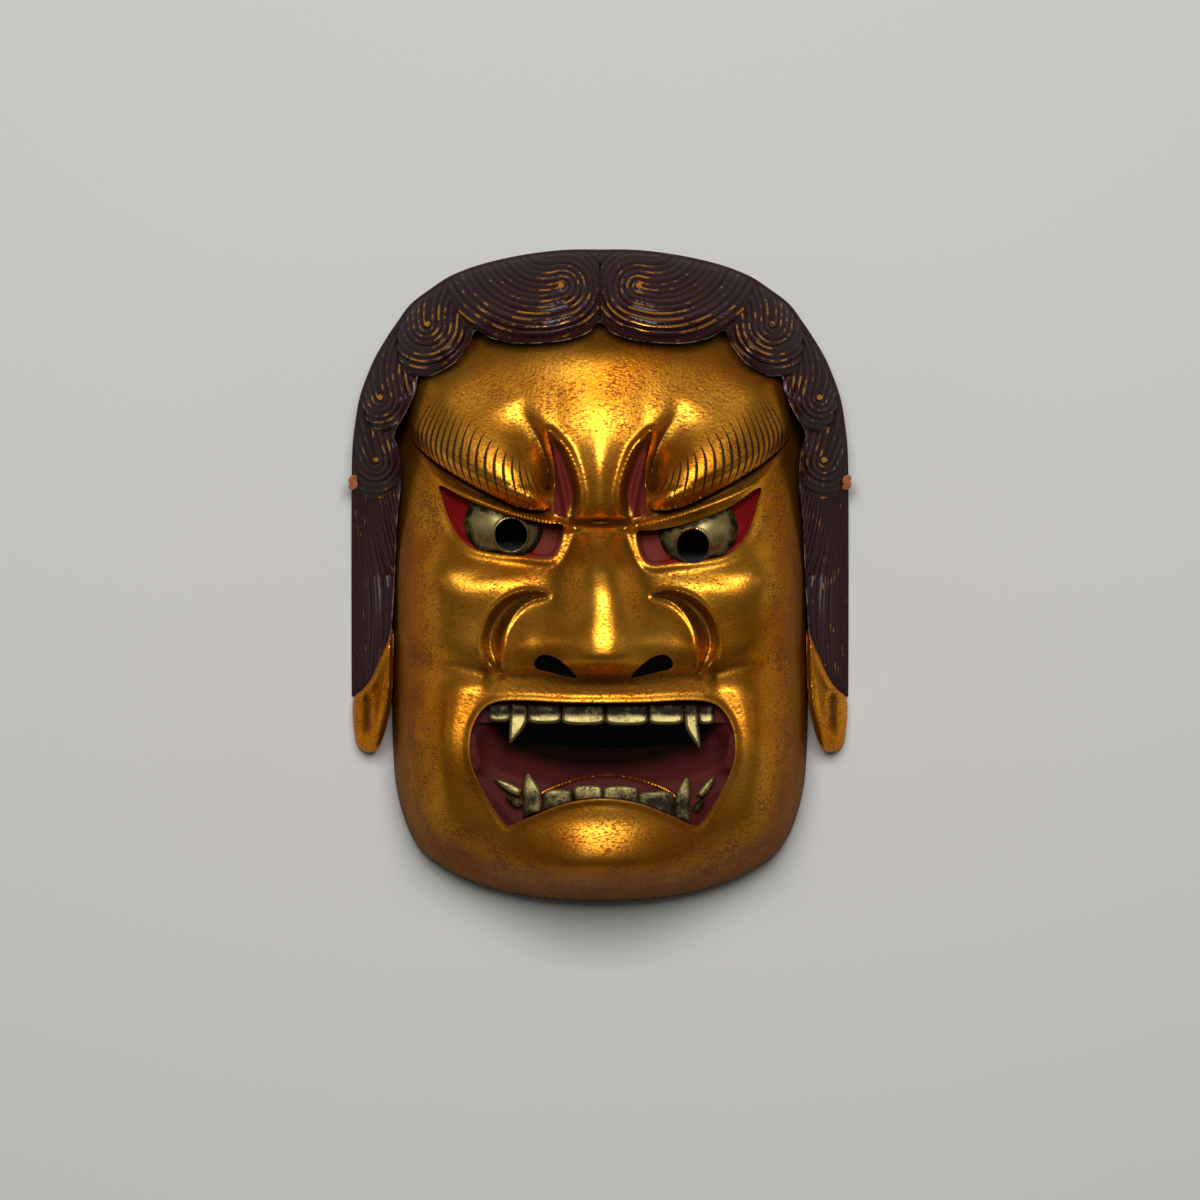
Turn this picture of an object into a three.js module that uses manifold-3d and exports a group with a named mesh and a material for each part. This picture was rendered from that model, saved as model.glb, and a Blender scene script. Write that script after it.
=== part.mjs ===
// A gilded wooden mask of a wrathful Buddhist deity, at its real size in millimetres.
//
// The mask lies on its back rim: Z = 0 is the surface it lies on, +Z runs out of the face, +Y runs
// to the crown and +X to the right of someone who looks at the face. The origin is under the middle.
// The face, the hair and the ear lobes are one carved block, hollowed from behind. The eyes and
// every tooth are sheet metal, each a piece of its own, and a cord knots through two side holes.
import * as THREE from 'three';
import { mergeVertices } from 'three/addons/utils/BufferGeometryUtils.js';
import Module from 'manifold-3d';

const wasm = await Module();
wasm.setup();

// driving dimensions
const FACE_DEPTH = 60;       // the face's dome, before its features are carved
const FACE_ROUND = [5.5, 1.9];
const HAIR_ROUND = [6.0, 1.4];
const HOLLOW_DEPTH = 50;     // the hollow at the back
const HOLLOW_ROUND = [5.0, 2.0];
const HOLLOW_SCALE = 0.94;   // the hollow's outline against the face's
const RIM = 1 - 1e-9;        // from here on a sheet is at its outline
const RIM_CROWD = 1.7;       // a sheet's cells get this much closer towards its outline
const FADE = 0.12;           // features flatten out over this share of the way to the outline
const GAP = 0.3;             // clearance between pieces that touch
const BROW_DIP = 0.5;        // the brow's sheet under the face, outside the brow
const EYE_DROP = 2.2;        // the eye on the right sits this much lower
const SOCKET_FLOOR = 55;
const EYE_RADIUS = 15.5;     // the sphere that a metal eye is beaten to
const EYE_TOP = 62.5;
const EYE_SHEET = 1.2;
const PUPIL_RADIUS = 5.4;
const BORE_RADIUS = 5;       // the hole through the wood behind a pupil
const MOUTH_LEDGE = 57;      // the gums, where the teeth are fixed
const MOUTH_SHIFT = 0.8;
const WELD = 0.001;          // points nearer than this are one point
const SLIVER = 0.2;          // no face of the block is left thinner than this
const COMB_PASSES = 8;
const CORD_RADIUS = 1.1;
const CORD_HOLE = { x: 74, y: 31, z: 12, radius: 2.2, length: 40 };

// the outlines that drive the carving: right half, seen from the front, from the crown down
const WHOLE_EDGE = [
  [0, 109.3], [13, 109.1], [27, 107.3], [40, 104.3], [50, 100.5], [57, 96], [63.5, 91], [68, 85],
  [72, 79], [75.5, 73], [78.5, 66], [80.8, 59], [82.3, 50], [83.2, 40], [83.4, 20], [83.4, -20],
  [83.3, -40], [83, -50], [81.5, -57.5], [77, -60.5], [71.5, -59.5], [69, -62.5], [68, -72],
  [65.5, -81], [60.5, -91], [51.7, -99], [40, -104.3], [26.7, -107.6], [0, -109.3],
];
const FACE_EDGE = [
  [0, 100], [30, 98], [52, 88], [65, 70], [69.3, 45], [69.5, 10], [69.5, -25], [69.5, -55],
  [67.5, -75], [61, -91], [50, -99.5], [37, -104.8], [20, -108.3], [0, -109.3],
];
const HAIR_LEVELS = [[-90, 30], [0, 30], [10, 36], [25, 48], [40, 64], [55, 74], [90, 76]];
const HAIR_LINE = [
  [0, 83.5], [4.4, 79.4], [12, 77], [20.5, 76.2], [29, 76.3], [36.5, 78.2], [41, 80.6],
  [43, 76.5], [47, 70.8], [51, 67.9], [56, 65.6], [60.2, 65.5], [61, 61], [63.5, 55],
  [66.8, 49.5], [68.2, 46], [66.5, 40], [66.2, 30], [67.5, 18], [68.4, 0], [69.5, -19],
];
const HAIR_END = [[72.1, -26.7], [75.1, -34.1], [78.6, -38.9], [95, -42.6], [95, 125], [0, 125]];
const BROW_EDGE = [
  [16.6, 47], [15.2, 37], [14.6, 28], [17.5, 21.6], [26, 22], [36.5, 26.6], [46.5, 32],
  [56, 38.5], [63, 46], [67, 56],
];
const LID_FOLD = [
  [65, 47], [59, 38], [52.7, 31], [42, 25.2], [29, 20.3], [19, 17.6], [12, 16.2], [0, 15.2],
];
const SLIT = [
  [16.6, 46.7], [15.6, 38], [14.8, 27], [14.6, 19.8], [8, 19.2], [6.6, 28], [9.6, 37], [13.6, 43.5],
];
const EYE = [
  [52.7, 29.5], [42, 24], [29, 19.2], [18.7, 17], [12, 15.8], [15.5, 5.8], [26, 6.2], [34, 7],
  [41.5, 8.6], [46, 12], [49.5, 17.5], [51.8, 25],
];
const EYE_BAG = [[14, 2.6], [28, 1.6], [41, -0.6], [52, -5], [58, -12]];
const CRESCENT = [
  [17, -7], [21, -5.2], [28, -5.9], [34.3, -10], [38.2, -16.7], [39, -24], [36.4, -30], [32, -33],
  [31.9, -28], [31.4, -20], [28.3, -13.5], [23.5, -9],
];
const CHEEK_FOLD = [[32.5, -33.5], [43, -31.5], [57, -29], [70, -26]];
const MOUTH = [
  [0, -42.2], [14, -42], [26, -41.4], [34.5, -41.8], [39.5, -44.5], [43, -51], [43.6, -59],
  [42.2, -65], [38, -73.5], [32.4, -82], [30, -82.6], [23, -79.5], [12, -75.2], [0, -73.6],
];
const MOUTH_GROOVE = [[32.5, -35], [40.5, -40.5], [46, -50], [47.5, -60], [45.5, -69], [38, -80], [33, -86]];
const EAR = [
  [69.3, -18.1], [69, -28], [69.2, -36], [70.1, -44], [72.5, -54], [75.5, -59], [81, -58.2],
  [82.7, -50], [82.6, -41.5], [79, -38], [75.7, -33.3], [72.6, -26],
];
const EAR_LEVEL = 26;

// the locks of hair, the lowest first: the middle of the curl, its outline and how far it stands out
const LOCKS = [
  { curl: [73.6, 36.3], high: 3.4, reach: 6.5, start: 60,
    edge: [
      [67, 46], [65.8, 38], [66.6, 31], [71, 26.5], [76.5, 26], [81, 30], [83.5, 40], [83, 50],
      [80, 58], [72, 55],
    ] },
  { curl: [73, 60], high: 4.5, reach: 7.5, start: 80,
    edge: [
      [60.5, 67], [61.5, 60], [65, 53.5], [69, 48.6], [74, 48], [79, 51], [82, 59], [79.5, 69],
      [75, 78], [69, 86], [64, 80],
    ] },
  { curl: [56.3, 83.3], high: 5.5, reach: 9.5, start: 60,
    edge: [
      [44.5, 86], [42.4, 77.4], [47.5, 70.2], [54.5, 66], [60.7, 65], [65.6, 68], [68, 77], [67.5, 86],
      [64.5, 93], [57, 98.5], [49, 101], [47, 94],
    ] },
  { curl: [12.2, 95.7], high: 6.5, reach: 10, start: -40, tail: [[45, 91], [36, 85.5], [27, 84]],
    edge: [
      [0.6, 83.5], [4.4, 79.8], [12, 77.2], [20.5, 76.5], [29, 76.6], [36.5, 78.5], [41.5, 82], [46, 89],
      [50, 97], [48, 101], [38, 104.5], [25, 106], [12, 106.2], [3, 103.5], [0.6, 96],
    ] },
];
const CURL_TURNS = 1.2;
const STRAND_HALF = 1.1;     // half the width of a carved strand, how far it stands out and its root
const STRAND_HIGH = 1.1;
const STRAND_ROOT = 3;
const SIDE_STRANDS = [73, 78];

// the teeth: name, middle, width, the edge at the gum and the free edge, how far a fang's tip goes past it
const UPPER_TEETH = [
  { name: 'upper_side_tooth_left', x: -32.9, width: 5.4, gum: -42.6, edge: -49.4, tip: 0 },
  { name: 'upper_fang_left', x: -27.2, width: 5.2, gum: -42.4, edge: -47.0, tip: 8.4 },
  { name: 'upper_incisor_1', x: -19.9, width: 8.6, gum: -42.6, edge: -49.0, tip: 0 },
  { name: 'upper_incisor_2', x: -7.5, width: 15.4, gum: -42.8, edge: -49.4, tip: 0 },
  { name: 'upper_incisor_3', x: 7.9, width: 14.4, gum: -42.8, edge: -49.4, tip: 0 },
  { name: 'upper_incisor_4', x: 21.2, width: 11.4, gum: -42.6, edge: -49.0, tip: 0 },
  { name: 'upper_fang_right', x: 30.0, width: 5.4, gum: -42.4, edge: -47.6, tip: 9.0 },
  { name: 'upper_side_tooth_right', x: 35.8, width: 5.4, gum: -43.0, edge: -49.6, tip: 0 },
];
const LOWER_TEETH = [
  { name: 'lower_fang_left', x: -22.6, width: 5.4, gum: -79.0, edge: -71.6, tip: 5.8 },
  { name: 'lower_incisor_1', x: -14.4, width: 7.6, gum: -77.0, edge: -70.8, tip: 0 },
  { name: 'lower_incisor_2', x: -5.2, width: 9.8, gum: -75.0, edge: -69.4, tip: 0 },
  { name: 'lower_incisor_3', x: 6.2, width: 11.2, gum: -75.0, edge: -69.4, tip: 0 },
  { name: 'lower_incisor_4', x: 18.6, width: 12.4, gum: -77.6, edge: -70.8, tip: 0 },
  { name: 'lower_fang_right', x: 27.7, width: 5.0, gum: -80.0, edge: -72.4, tip: 5.6 },
];
const SIDE_LEAVES = [
  { name: 'lower_side_tooth_left_1', root: [-26.2, -72.0], tip: [-34.5, -67.4], width: 3.0 },
  { name: 'lower_side_tooth_left_2', root: [-26.0, -76.0], tip: [-31.2, -73.0], width: 2.4 },
  { name: 'lower_side_tooth_right_1', root: [31.0, -77.5], tip: [34.8, -73.6], width: 2.2 },
  { name: 'lower_side_tooth_right_2', root: [32.8, -73.0], tip: [37.9, -66.2], width: 2.6 },
];
const TOOTH_THICK = 3.2;
const TOOTH_RISE = 2.4;      // the middle of a row stands this much further out than its ends
const ROW_HALF = 38;
const CORNER = 1.1;

// shaping helpers: a smooth step, a mound, a mound on each side of the face, a curve through points
const clamp = (x, low, high) => Math.min(Math.max(x, low), high);

function ease(x, from, to) {
  const t = clamp((x - from) / (to - from), 0, 1);
  return t * t * (3 - 2 * t);
}

function mound(u, v, [cu, cv, ru, rv, high, turn = 0]) {
  const angle = THREE.MathUtils.degToRad(turn);
  const c = Math.cos(angle);
  const s = Math.sin(angle);
  const a = ((u - cu) * c + (v - cv) * s) / ru;
  const b = (-(u - cu) * s + (v - cv) * c) / rv;
  return high * Math.exp(-(a * a + b * b));
}

const mounds = (u, v, list) => list.reduce((sum, one) => sum + mound(u, v, one), 0);
const pairs = (u, v, list) => mounds(u, v, list) + mounds(-u, v, list);
const line = (x, middle, width) => Math.exp(-(((x - middle) / width) ** 2));
const both = (points) => [...points, ...points.slice(1, -1).reverse().map(([x, y]) => [-x, y])];

function curve(points, steps, closed = false) {
  const flat = points.map(([x, y]) => new THREE.Vector3(x, y, 0));
  const path = new THREE.CatmullRomCurve3(flat, closed, 'catmullrom', 0.5);
  const spans = closed ? points.length : points.length - 1;
  const found = path.getPoints(spans * steps).map((p) => [p.x, p.y]);
  return closed ? found.slice(0, -1) : found;
}

// the nearest place on a line: its distance, its side (1 on the left of the way) and how far along it is
function nearest(u, v, points) {
  let best = Infinity;
  let side = 1;
  let place = 0;
  for (let i = 0; i < points.length - 1; i++) {
    const [ax, ay] = points[i];
    const dx = points[i + 1][0] - ax;
    const dy = points[i + 1][1] - ay;
    const t = clamp(((u - ax) * dx + (v - ay) * dy) / (dx * dx + dy * dy), 0, 1);
    const ex = u - ax - t * dx;
    const ey = v - ay - t * dy;
    const d = ex * ex + ey * ey;
    if (d < best) {
      best = d;
      side = Math.sign(dx * ey - dy * ex) || 1;
      place = (i + t) / (points.length - 1);
    }
  }
  return { away: Math.sqrt(best), side, place };
}

// distance to a closed outline, positive inside it
function within(u, v, points) {
  let odd = false;
  for (let i = 0; i < points.length; i++) {
    const [ax, ay] = points[i];
    const [bx, by] = points[(i + 1) % points.length];
    if ((ay > v) !== (by > v) && u < ((bx - ax) * (v - ay)) / (by - ay) + ax) odd = !odd;
  }
  const { away } = nearest(u, v, [...points, points[0]]);
  return odd ? away : -away;
}

// how far an outline reaches from the middle, in each direction
function reachOf(edge) {
  const points = curve(both(edge), 12, true).map(([x, y]) => [Math.atan2(y, x), Math.hypot(x, y)]);
  points.sort((p, q) => p[0] - q[0]);
  const first = points[0];
  const last = points[points.length - 1];
  const ring = [[last[0] - 2 * Math.PI, last[1]], ...points, [first[0] + 2 * Math.PI, first[1]]];
  return (angle) => {
    let low = 0;
    let high = ring.length - 1;
    while (high - low > 1) {
      const middle = (low + high) >> 1;
      if (ring[middle][0] > angle) high = middle;
      else low = middle;
    }
    const [a0, r0] = ring[low];
    const [a1, r1] = ring[high];
    return r0 + ((r1 - r0) * (angle - a0)) / (a1 - a0);
  };
}

const reachWhole = reachOf(WHOLE_EDGE);
const reachFace = reachOf(FACE_EDGE);
const dome = (rho, [round, flat]) => Math.max(1 - rho ** round, 0) ** (1 / flat);
const ends = (place, start, stop) => ease(place, 0, start) * (1 - ease(place, 1 - stop, 1));

const browCurve = curve(BROW_EDGE, 3);
const browRegion = [...browCurve, [69, 64], [60, 80], [0.5, 80], [0.5, 60], [11, 52]];
const lidCurve = curve(LID_FOLD, 4);
const slitCurve = curve(SLIT, 3, true);
const eyeCurve = curve(EYE, 3, true);
const bagCurve = curve(EYE_BAG, 4);
const crescentCurve = curve(CRESCENT, 2, true);
const foldCurve = curve(CHEEK_FOLD, 4);
const mouthCurve = curve(both(MOUTH), 2, true).map(([x, y]) => [x + MOUTH_SHIFT, y]);
const grooveCurve = curve(MOUTH_GROOVE, 4);
const earCurve = curve(EAR, 3, true);
const hairCurve = [...curve(HAIR_LINE, 2), ...HAIR_END];
const lockCurves = LOCKS.map((lock) => curve(lock.edge, 3, true));

// heights of the carved face, measured from the surface it lies on
function faceHeight(u, v, rho) {
  if (rho > RIM) return 0;
  const m = Math.hypot(u, 0.5);
  let f = mounds(u, v, [
    [0, 0, 45, 50, 4],       // middle of the face
    [0, 52, 34, 30, 6.5],    // forehead
    [0, 54, 15, 19, 5],      // the knot above the nose
    [0, -52, 38, 28, 8],     // muzzle
    [0, -90, 36, 14, 16],    // jaw
    [0, -88, 22, 6.5, 6],    // chin
    [0, -79.5, 28, 2.4, -1.6], // hollow below the lower lip
  ]);
  f += pairs(u, v, [
    [24.5, 44, 4.5, 12, -3.4, -12], // valley between the knot and the brow
    [34, 14, 21, 10, -4.5, 15],     // eye socket
    [57, 18, 9, 14, -1.5, 20],      // temple beside the eye
    [50, 3.5, 8, 5, 2.2, -20],      // outer end of the lower lid
    [30, -4, 17, 4, 4.2, -6],       // cheekbone below the eye
    [38, -8, 11, 6, 2.4, -10],
    [54, -14, 14, 12, 4],           // cheek
    [51, -54, 10, 22, 5],           // jowl beside the mouth
    [52, -80, 14, 10, 3],           // corner of the jaw
  ]);
  f += frownHeight(u, m, v) + noseHeight(u, v);
  f += eyeHeight(u, m, v) + mouthHeight(u, m, v);
  return FACE_DEPTH * dome(rho, FACE_ROUND) + f * ease(1 - rho, 0, FADE);
}

// The knotted brow is a swelling that breaks off along its lower edge. Its sheet is cut to that
// edge and joined on, so it dips just under the face everywhere else.
function browHeight(u, v, rho) {
  const swelling = mounds(Math.hypot(u, 0.5), v, [
    [44, 39, 20, 11, 7, 36],
    [28, 29, 12, 9, 5, 25],
    [20, 27, 5, 10, 3],
  ]);
  const above = nearest(Math.abs(u), v, browCurve).away;
  const rounded = 0.4 + 0.6 * (1 - Math.exp(-above / 3.5));
  const dip = rho > RIM ? 0 : BROW_DIP;
  return faceHeight(u, v, rho) + swelling * rounded * ease(1 - rho, 0, FADE) - dip;
}

// the ridge between the two frown slits, their raised rims and the nose's root
function frownHeight(u, m, v) {
  const column = 3.6 * line(u, 0, 4.6) * ease(v, 15, 24) * (1 - ease(v, 34, 66));
  const rim = 1.9 * line(within(m, v, slitCurve), -0.3, 1.2) * ease(v, 17, 24);
  const root = 2.2 * line(v, 17, 1.3) * (1 - ease(m, 8, 12));
  return column + rim - root;
}

// the lid's fold, the rim round the eye and the bag below it
function eyeHeight(u, m, v) {
  const fold = nearest(m, v, lidCurve);
  const drop = ease(u, 6, 18) * EYE_DROP * (1 - ease(v, 22, 34)) * ease(v, -12, 4);
  const rim = within(m, v + drop, eyeCurve);
  const bag = nearest(m, v + drop, bagCurve);
  return 2.4 * line(fold.away, 0, 1.5) * ease(fold.place, 0, 0.25)
    + 1.7 * line(Math.min(rim, 0), 0, 1.4)
    - 2.4 * line(bag.away, 0, 2) * ends(bag.place, 0.2, 0.5);
}

function noseHeight(u, v) {
  const fall = ease(-v, -16, 20);
  const length = ease(v, -36, -26) * (1 - ease(v, 12, 16.5));
  const bridge = (2.2 + 11 * fall) * line(u, 0, 6.2 + 3.6 * fall) * length;
  const flanks = 5 * line(u, 0, 16) * (1 - ease(v, 0, 16)) * ease(v, -36.5, -28);
  const wings = pairs(u, v, [[19.5, -21, 11.5, 11, 7.5]]) * ease(v, -34, -29.5)
    + pairs(u, v, [[28, -24, 6, 8, 3.5]]) * ease(v, -34, -30.5);
  return bridge + flanks + wings + mound(u, v, [0, -22, 11, 9, 2.6]);
}

// the wing's crescent rim, the fold across the cheek and what frames the mouth
function mouthHeight(u, m, v) {
  const crescent = 1.3 * line(within(m, v, crescentCurve), 0, 1.1);
  const fold = nearest(m, v, foldCurve);
  const groove = nearest(m, v, grooveCurve);
  const lip = 1.5 * line(Math.min(within(u, v, mouthCurve), 0), 0, 1.8);
  return crescent + lip - 3.6 * line(fold.away, 0, 4.5) * ease(fold.place, 0, 0.2)
    - 3.2 * line(groove.away, 0, 2.6) * ends(groove.place, 0.25, 0.25);
}

// the hair's dome, with its locks laid over one another and each one wound round its curl
function hairHeight(u, v, rho) {
  if (rho > RIM) return 0;
  const m = Math.abs(u);
  const angle = THREE.MathUtils.radToDeg(Math.atan2(v, m));
  const next = HAIR_LEVELS.findIndex(([limit]) => limit >= angle);
  const [a0, z0] = HAIR_LEVELS[Math.max(next - 1, 0)];
  const [a1, z1] = HAIR_LEVELS[Math.max(next, 1)];
  const level = z0 + ((z1 - z0) * (angle - a0)) / (a1 - a0);
  let relief = 0;
  LOCKS.forEach((lock, i) => {
    const depth = within(m, v, lockCurves[i]);
    if (depth <= 0) return;
    const curl = Math.hypot(m - lock.curl[0], v - lock.curl[1]);
    relief = lock.high * (1 - (1 - clamp(depth / 9, 0, 1)) ** 2.2) + 1.6 * line(curl, 0, 2.6);
  });
  return level * dome(rho, HAIR_ROUND) + relief * ease(1 - rho, 0, 0.03);
}

// an ear lobe: a long leaf with a raised rim, standing forward of the hair behind it
function earHeight(u, v, rho) {
  if (rho > RIM) return 0;
  const m = Math.abs(u);
  const depth = within(m, v, earCurve);
  const hollow = 1.4 * line(m, 77.6, 1.3) * ease(-v, 36, 42) * (1 - ease(-v, 50, 56));
  return EAR_LEVEL * dome(rho, [10, 1.6]) + 1.2 * line(depth, 0, 1.2) - hollow;
}

function hollowHeight(u, v, rho) {
  if (rho > RIM) return 2 * BELOW;
  return HOLLOW_DEPTH * dome(rho, HOLLOW_ROUND) + mounds(u, v, [
    [0, -18, 11, 13, 13],    // behind the nose
    [0, -86, 20, 9, 8],      // behind the chin
    [0, 52, 26, 24, 6],      // behind the forehead
    [1, -57, 40, 17, -12],   // behind the mouth
  ]) * ease(1 - rho, 0, 0.2);
}

// a point of a domed surface: a square sheet drawn into a round one, and closer towards its rim
function sheetPoint(a, b, reach, scale, height) {
  const x = a * Math.sqrt(1 - (b * b) / 2);
  const y = b * Math.sqrt(1 - (a * a) / 2);
  const rho = 1 - Math.max(1 - Math.hypot(x, y), 0) ** RIM_CROWD;
  const angle = Math.atan2(y, x);
  const r = rho * reach(angle) * scale;
  const u = r * Math.cos(angle);
  const v = r * Math.sin(angle);
  return [u, v, height(u, v, rho)];
}

// A closed body from a surface over a square of cells. A triangle is halved across its long side
// only where the surface leaves that side by more than the slack, so plain parts stay coarse.
function carvedBody(cells, slack, pointAt) {
  const side = cells + 1;
  const points = [];
  for (let j = 0; j < side; j++) {
    for (let i = 0; i < side; i++) points.push(pointAt((2 * i) / cells - 1, (2 * j) / cells - 1));
  }
  const place = (i, j) => new THREE.Vector3(...points[clamp(j, 0, cells) * side + clamp(i, 0, cells)]);
  const across = (k) => {
    const [i, j] = [k % side, Math.floor(k / side)];
    const along = place(i + 1, j).sub(place(i - 1, j));
    return along.cross(place(i, j + 1).sub(place(i, j - 1))).normalize();
  };
  const error = new Float64Array(side * side);
  const count = cells * cells * 2 - 2;
  const parents = count - cells * cells;
  for (let k = count - 1; k >= 0; k--) {
    let [ax, ay, bx, by, cx, cy] = [0, 0, 0, 0, 0, 0];
    let id = k + 2;
    if (id & 1) [bx, by, cx] = [cells, cells, cells];
    else [ax, ay, cy] = [cells, cells, cells];
    while ((id >>= 1) > 1) {
      const [mx, my] = [(ax + bx) >> 1, (ay + by) >> 1];
      if (id & 1) [bx, by, ax, ay] = [ax, ay, cx, cy];
      else [ax, ay, bx, by] = [bx, by, cx, cy];
      [cx, cy] = [mx, my];
    }
    const middle = ((ay + by) >> 1) * side + ((ax + bx) >> 1);
    const a = points[ay * side + ax];
    const b = points[by * side + bx];
    const off = points[middle].map((value, n) => value - (a[n] + b[n]) / 2);
    error[middle] = Math.max(error[middle], Math.abs(across(middle).dot(new THREE.Vector3(...off))));
    if (k < parents) {
      const left = ((ay + cy) >> 1) * side + ((ax + cx) >> 1);
      const right = ((by + cy) >> 1) * side + ((bx + cx) >> 1);
      error[middle] = Math.max(error[middle], error[left], error[right]);
    }
  }
  const triangles = [];
  const split = (ax, ay, bx, by, cx, cy) => {
    const mx = (ax + bx) >> 1;
    const my = (ay + by) >> 1;
    if (Math.abs(ax - cx) + Math.abs(ay - cy) > 1 && error[my * side + mx] > slack) {
      split(cx, cy, ax, ay, mx, my);
      split(bx, by, cx, cy, mx, my);
    } else {
      triangles.push([ay * side + ax, by * side + bx, cy * side + cx]);
    }
  };
  split(0, 0, cells, cells, cells, 0);
  split(cells, cells, 0, 0, 0, cells);
  return closedBody(points, triangles);
}

// the open rim of a surface is closed by a flat base
function closedBody(points, triangles) {
  const used = new Set(triangles.flatMap(([a, b, c]) => [`${a},${b}`, `${b},${c}`, `${c},${a}`]));
  const base = points.length;
  const faces = [...triangles];
  for (const edge of used) {
    const [a, b] = edge.split(',').map(Number);
    if (!used.has(`${b},${a}`)) faces.push([b, a, base]);
  }
  const rim = points[0][2];
  const geometry = new THREE.BufferGeometry();
  geometry.setAttribute('position', new THREE.Float32BufferAttribute([...points, [0, 0, rim]].flat(), 3));
  geometry.setIndex(faces.flatMap(([a, b, c]) => [a, c, b]));
  return geometry;
}

function solid(geometry) {
  const plain = geometry.clone();
  plain.deleteAttribute('normal');
  plain.deleteAttribute('uv');
  const merged = mergeVertices(plain, WELD);
  return new wasm.Manifold(new wasm.Mesh({
    numProp: 3,
    vertProperties: Float32Array.from(merged.attributes.position.array),
    triVerts: Uint32Array.from(merged.index.array),
  }));
}

function geometryOf(body) {
  const mesh = body.getMesh();
  const geometry = new THREE.BufferGeometry();
  geometry.setAttribute('position', new THREE.Float32BufferAttribute(mesh.vertProperties, 3));
  geometry.setIndex(Array.from(mesh.triVerts));
  geometry.computeVertexNormals();
  return geometry;
}

// Cuts leave slivers behind. A very short edge is drawn together to a point, and the long edge of
// a needle is turned so that it ends at the needle's tip.
function combed(body) {
  const mesh = body.getMesh();
  const spots = [];
  for (let i = 0; i < mesh.vertProperties.length; i += 3) {
    spots.push(new THREE.Vector3(...mesh.vertProperties.slice(i, i + 3)));
  }
  let faces = [];
  for (let i = 0; i < mesh.triVerts.length; i += 3) faces.push([...mesh.triVerts.slice(i, i + 3)]);
  for (let pass = 0; pass < COMB_PASSES; pass++) {
    const round = spots.map(() => []);
    faces.forEach((face) => face.forEach((k) => round[k].push(face)));
    const busy = new Set();
    const ring = (k) => new Set(round[k].flat());
    const take = (list) => list.flatMap((k) => [...ring(k)]).forEach((k) => busy.add(k));
    for (const face of faces) {
      if (face.some((k) => busy.has(k))) continue;
      const length = (n) => spots[face[n]].distanceTo(spots[face[(n + 1) % 3]]);
      const order = [0, 1, 2].sort((m, n) => length(m) - length(n));
      const [a, b] = [face[order[0]], face[(order[0] + 1) % 3]];
      const [p, q, tip] = [face[order[2]], face[(order[2] + 1) % 3], face[(order[2] + 2) % 3]];
      const height = new THREE.Line3(spots[p], spots[q])
        .closestPointToPoint(spots[tip], true, new THREE.Vector3()).distanceTo(spots[tip]);
      const shared = [...ring(a)].filter((k) => k !== a && k !== b && ring(b).has(k));
      if (length(order[0]) < SLIVER && shared.length === 2) {
        take([a, b]);
        spots[a].lerp(spots[b], 0.5);
        round[b].forEach((other) => other.splice(other.indexOf(b), 1, a));
      } else if (height < SLIVER) {
        const beyond = round[p].find((other) => other !== face && other.includes(q));
        const far = beyond.find((k) => k !== p && k !== q);
        if (ring(tip).has(far) || busy.has(far)) continue;
        take([p, q, tip, far]);
        face.splice(0, 3, p, far, tip);
        beyond.splice(0, 3, far, q, tip);
      }
    }
    faces = faces.filter(([x, y, z]) => x !== y && y !== z && x !== z);
  }
  const geometry = new THREE.BufferGeometry();
  geometry.setAttribute('position', new THREE.Float32BufferAttribute(spots.flatMap((v) => v.toArray()), 3));
  geometry.setIndex(faces.flat());
  return solid(geometry).decompose().sort((m, n) => n.volume() - m.volume())[0];
}

// a straight-sided block over an outline, from one height to another
function block(points, low, high) {
  const shape = new THREE.Shape(points.map(([x, y]) => new THREE.Vector2(x, y)));
  const geometry = new THREE.ExtrudeGeometry(shape, { depth: high - low, bevelEnabled: false });
  return solid(geometry.translate(0, 0, low));
}

// an outline moved inwards by a small distance
function inset(points, by) {
  const area = points.reduce((sum, [x, y], i) => {
    const [nx, ny] = points[(i + 1) % points.length];
    return sum + x * ny - nx * y;
  }, 0);
  return points.map(([x, y], i) => {
    const [px, py] = points[(i + points.length - 1) % points.length];
    const [nx, ny] = points[(i + 1) % points.length];
    const length = Math.hypot(nx - px, ny - py);
    const inward = by * Math.sign(area);
    return [x - (inward * (ny - py)) / length, y + (inward * (nx - px)) / length];
  });
}

const mirrored = (points) => points.map(([x, y]) => [-x, y]).reverse();

function ellipse(x, y, rx, ry, turn, steps = 20) {
  const angle = THREE.MathUtils.degToRad(turn);
  const path = new THREE.EllipseCurve(x, y, rx, ry, 0, 2 * Math.PI, false, angle);
  return path.getPoints(steps).slice(0, -1).map((p) => [p.x, p.y]);
}

function ball(x, y, z, rx, ry, rz, around = 24, down = 14) {
  return solid(new THREE.SphereGeometry(1, around, down).scale(rx, ry, rz).translate(x, y, z));
}

// the carved block
const PUPILS = { left: [-29.3, 13.1], right: [30.6, 9.6] };
const EYEBALLS = { left: [-31.7, 16.7], right: [32.3, 15.0] };
const lowered = (points) => points.map(([x, y]) => [x, y - EYE_DROP * (1 - ease(y, 22, 34))]);
const sockets = { left: mirrored(eyeCurve), right: lowered(eyeCurve) };

const SLIT_FLOOR = 61;
const CRESCENT_FLOOR = 57.5;
const NOSTRIL = [14.2, -29.2, 7.8, 2.7];
const NOSTRIL_TURN = -21;
const BOWL = [1, -58, MOUTH_LEDGE, 33, 12.5, 13];
const THROAT = [1, -54, 30, 6.5];
const THROUGH = 20;          // a height in the hollow: holes cut from here up go right through
const BROW_FLOOR = 30;
const BELOW = -1;
const TOP = 120;

function sheet(cells, slack, reach, scale, height) {
  return solid(carvedBody(cells, slack, (a, b) => sheetPoint(a, b, reach, scale, height)));
}

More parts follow.
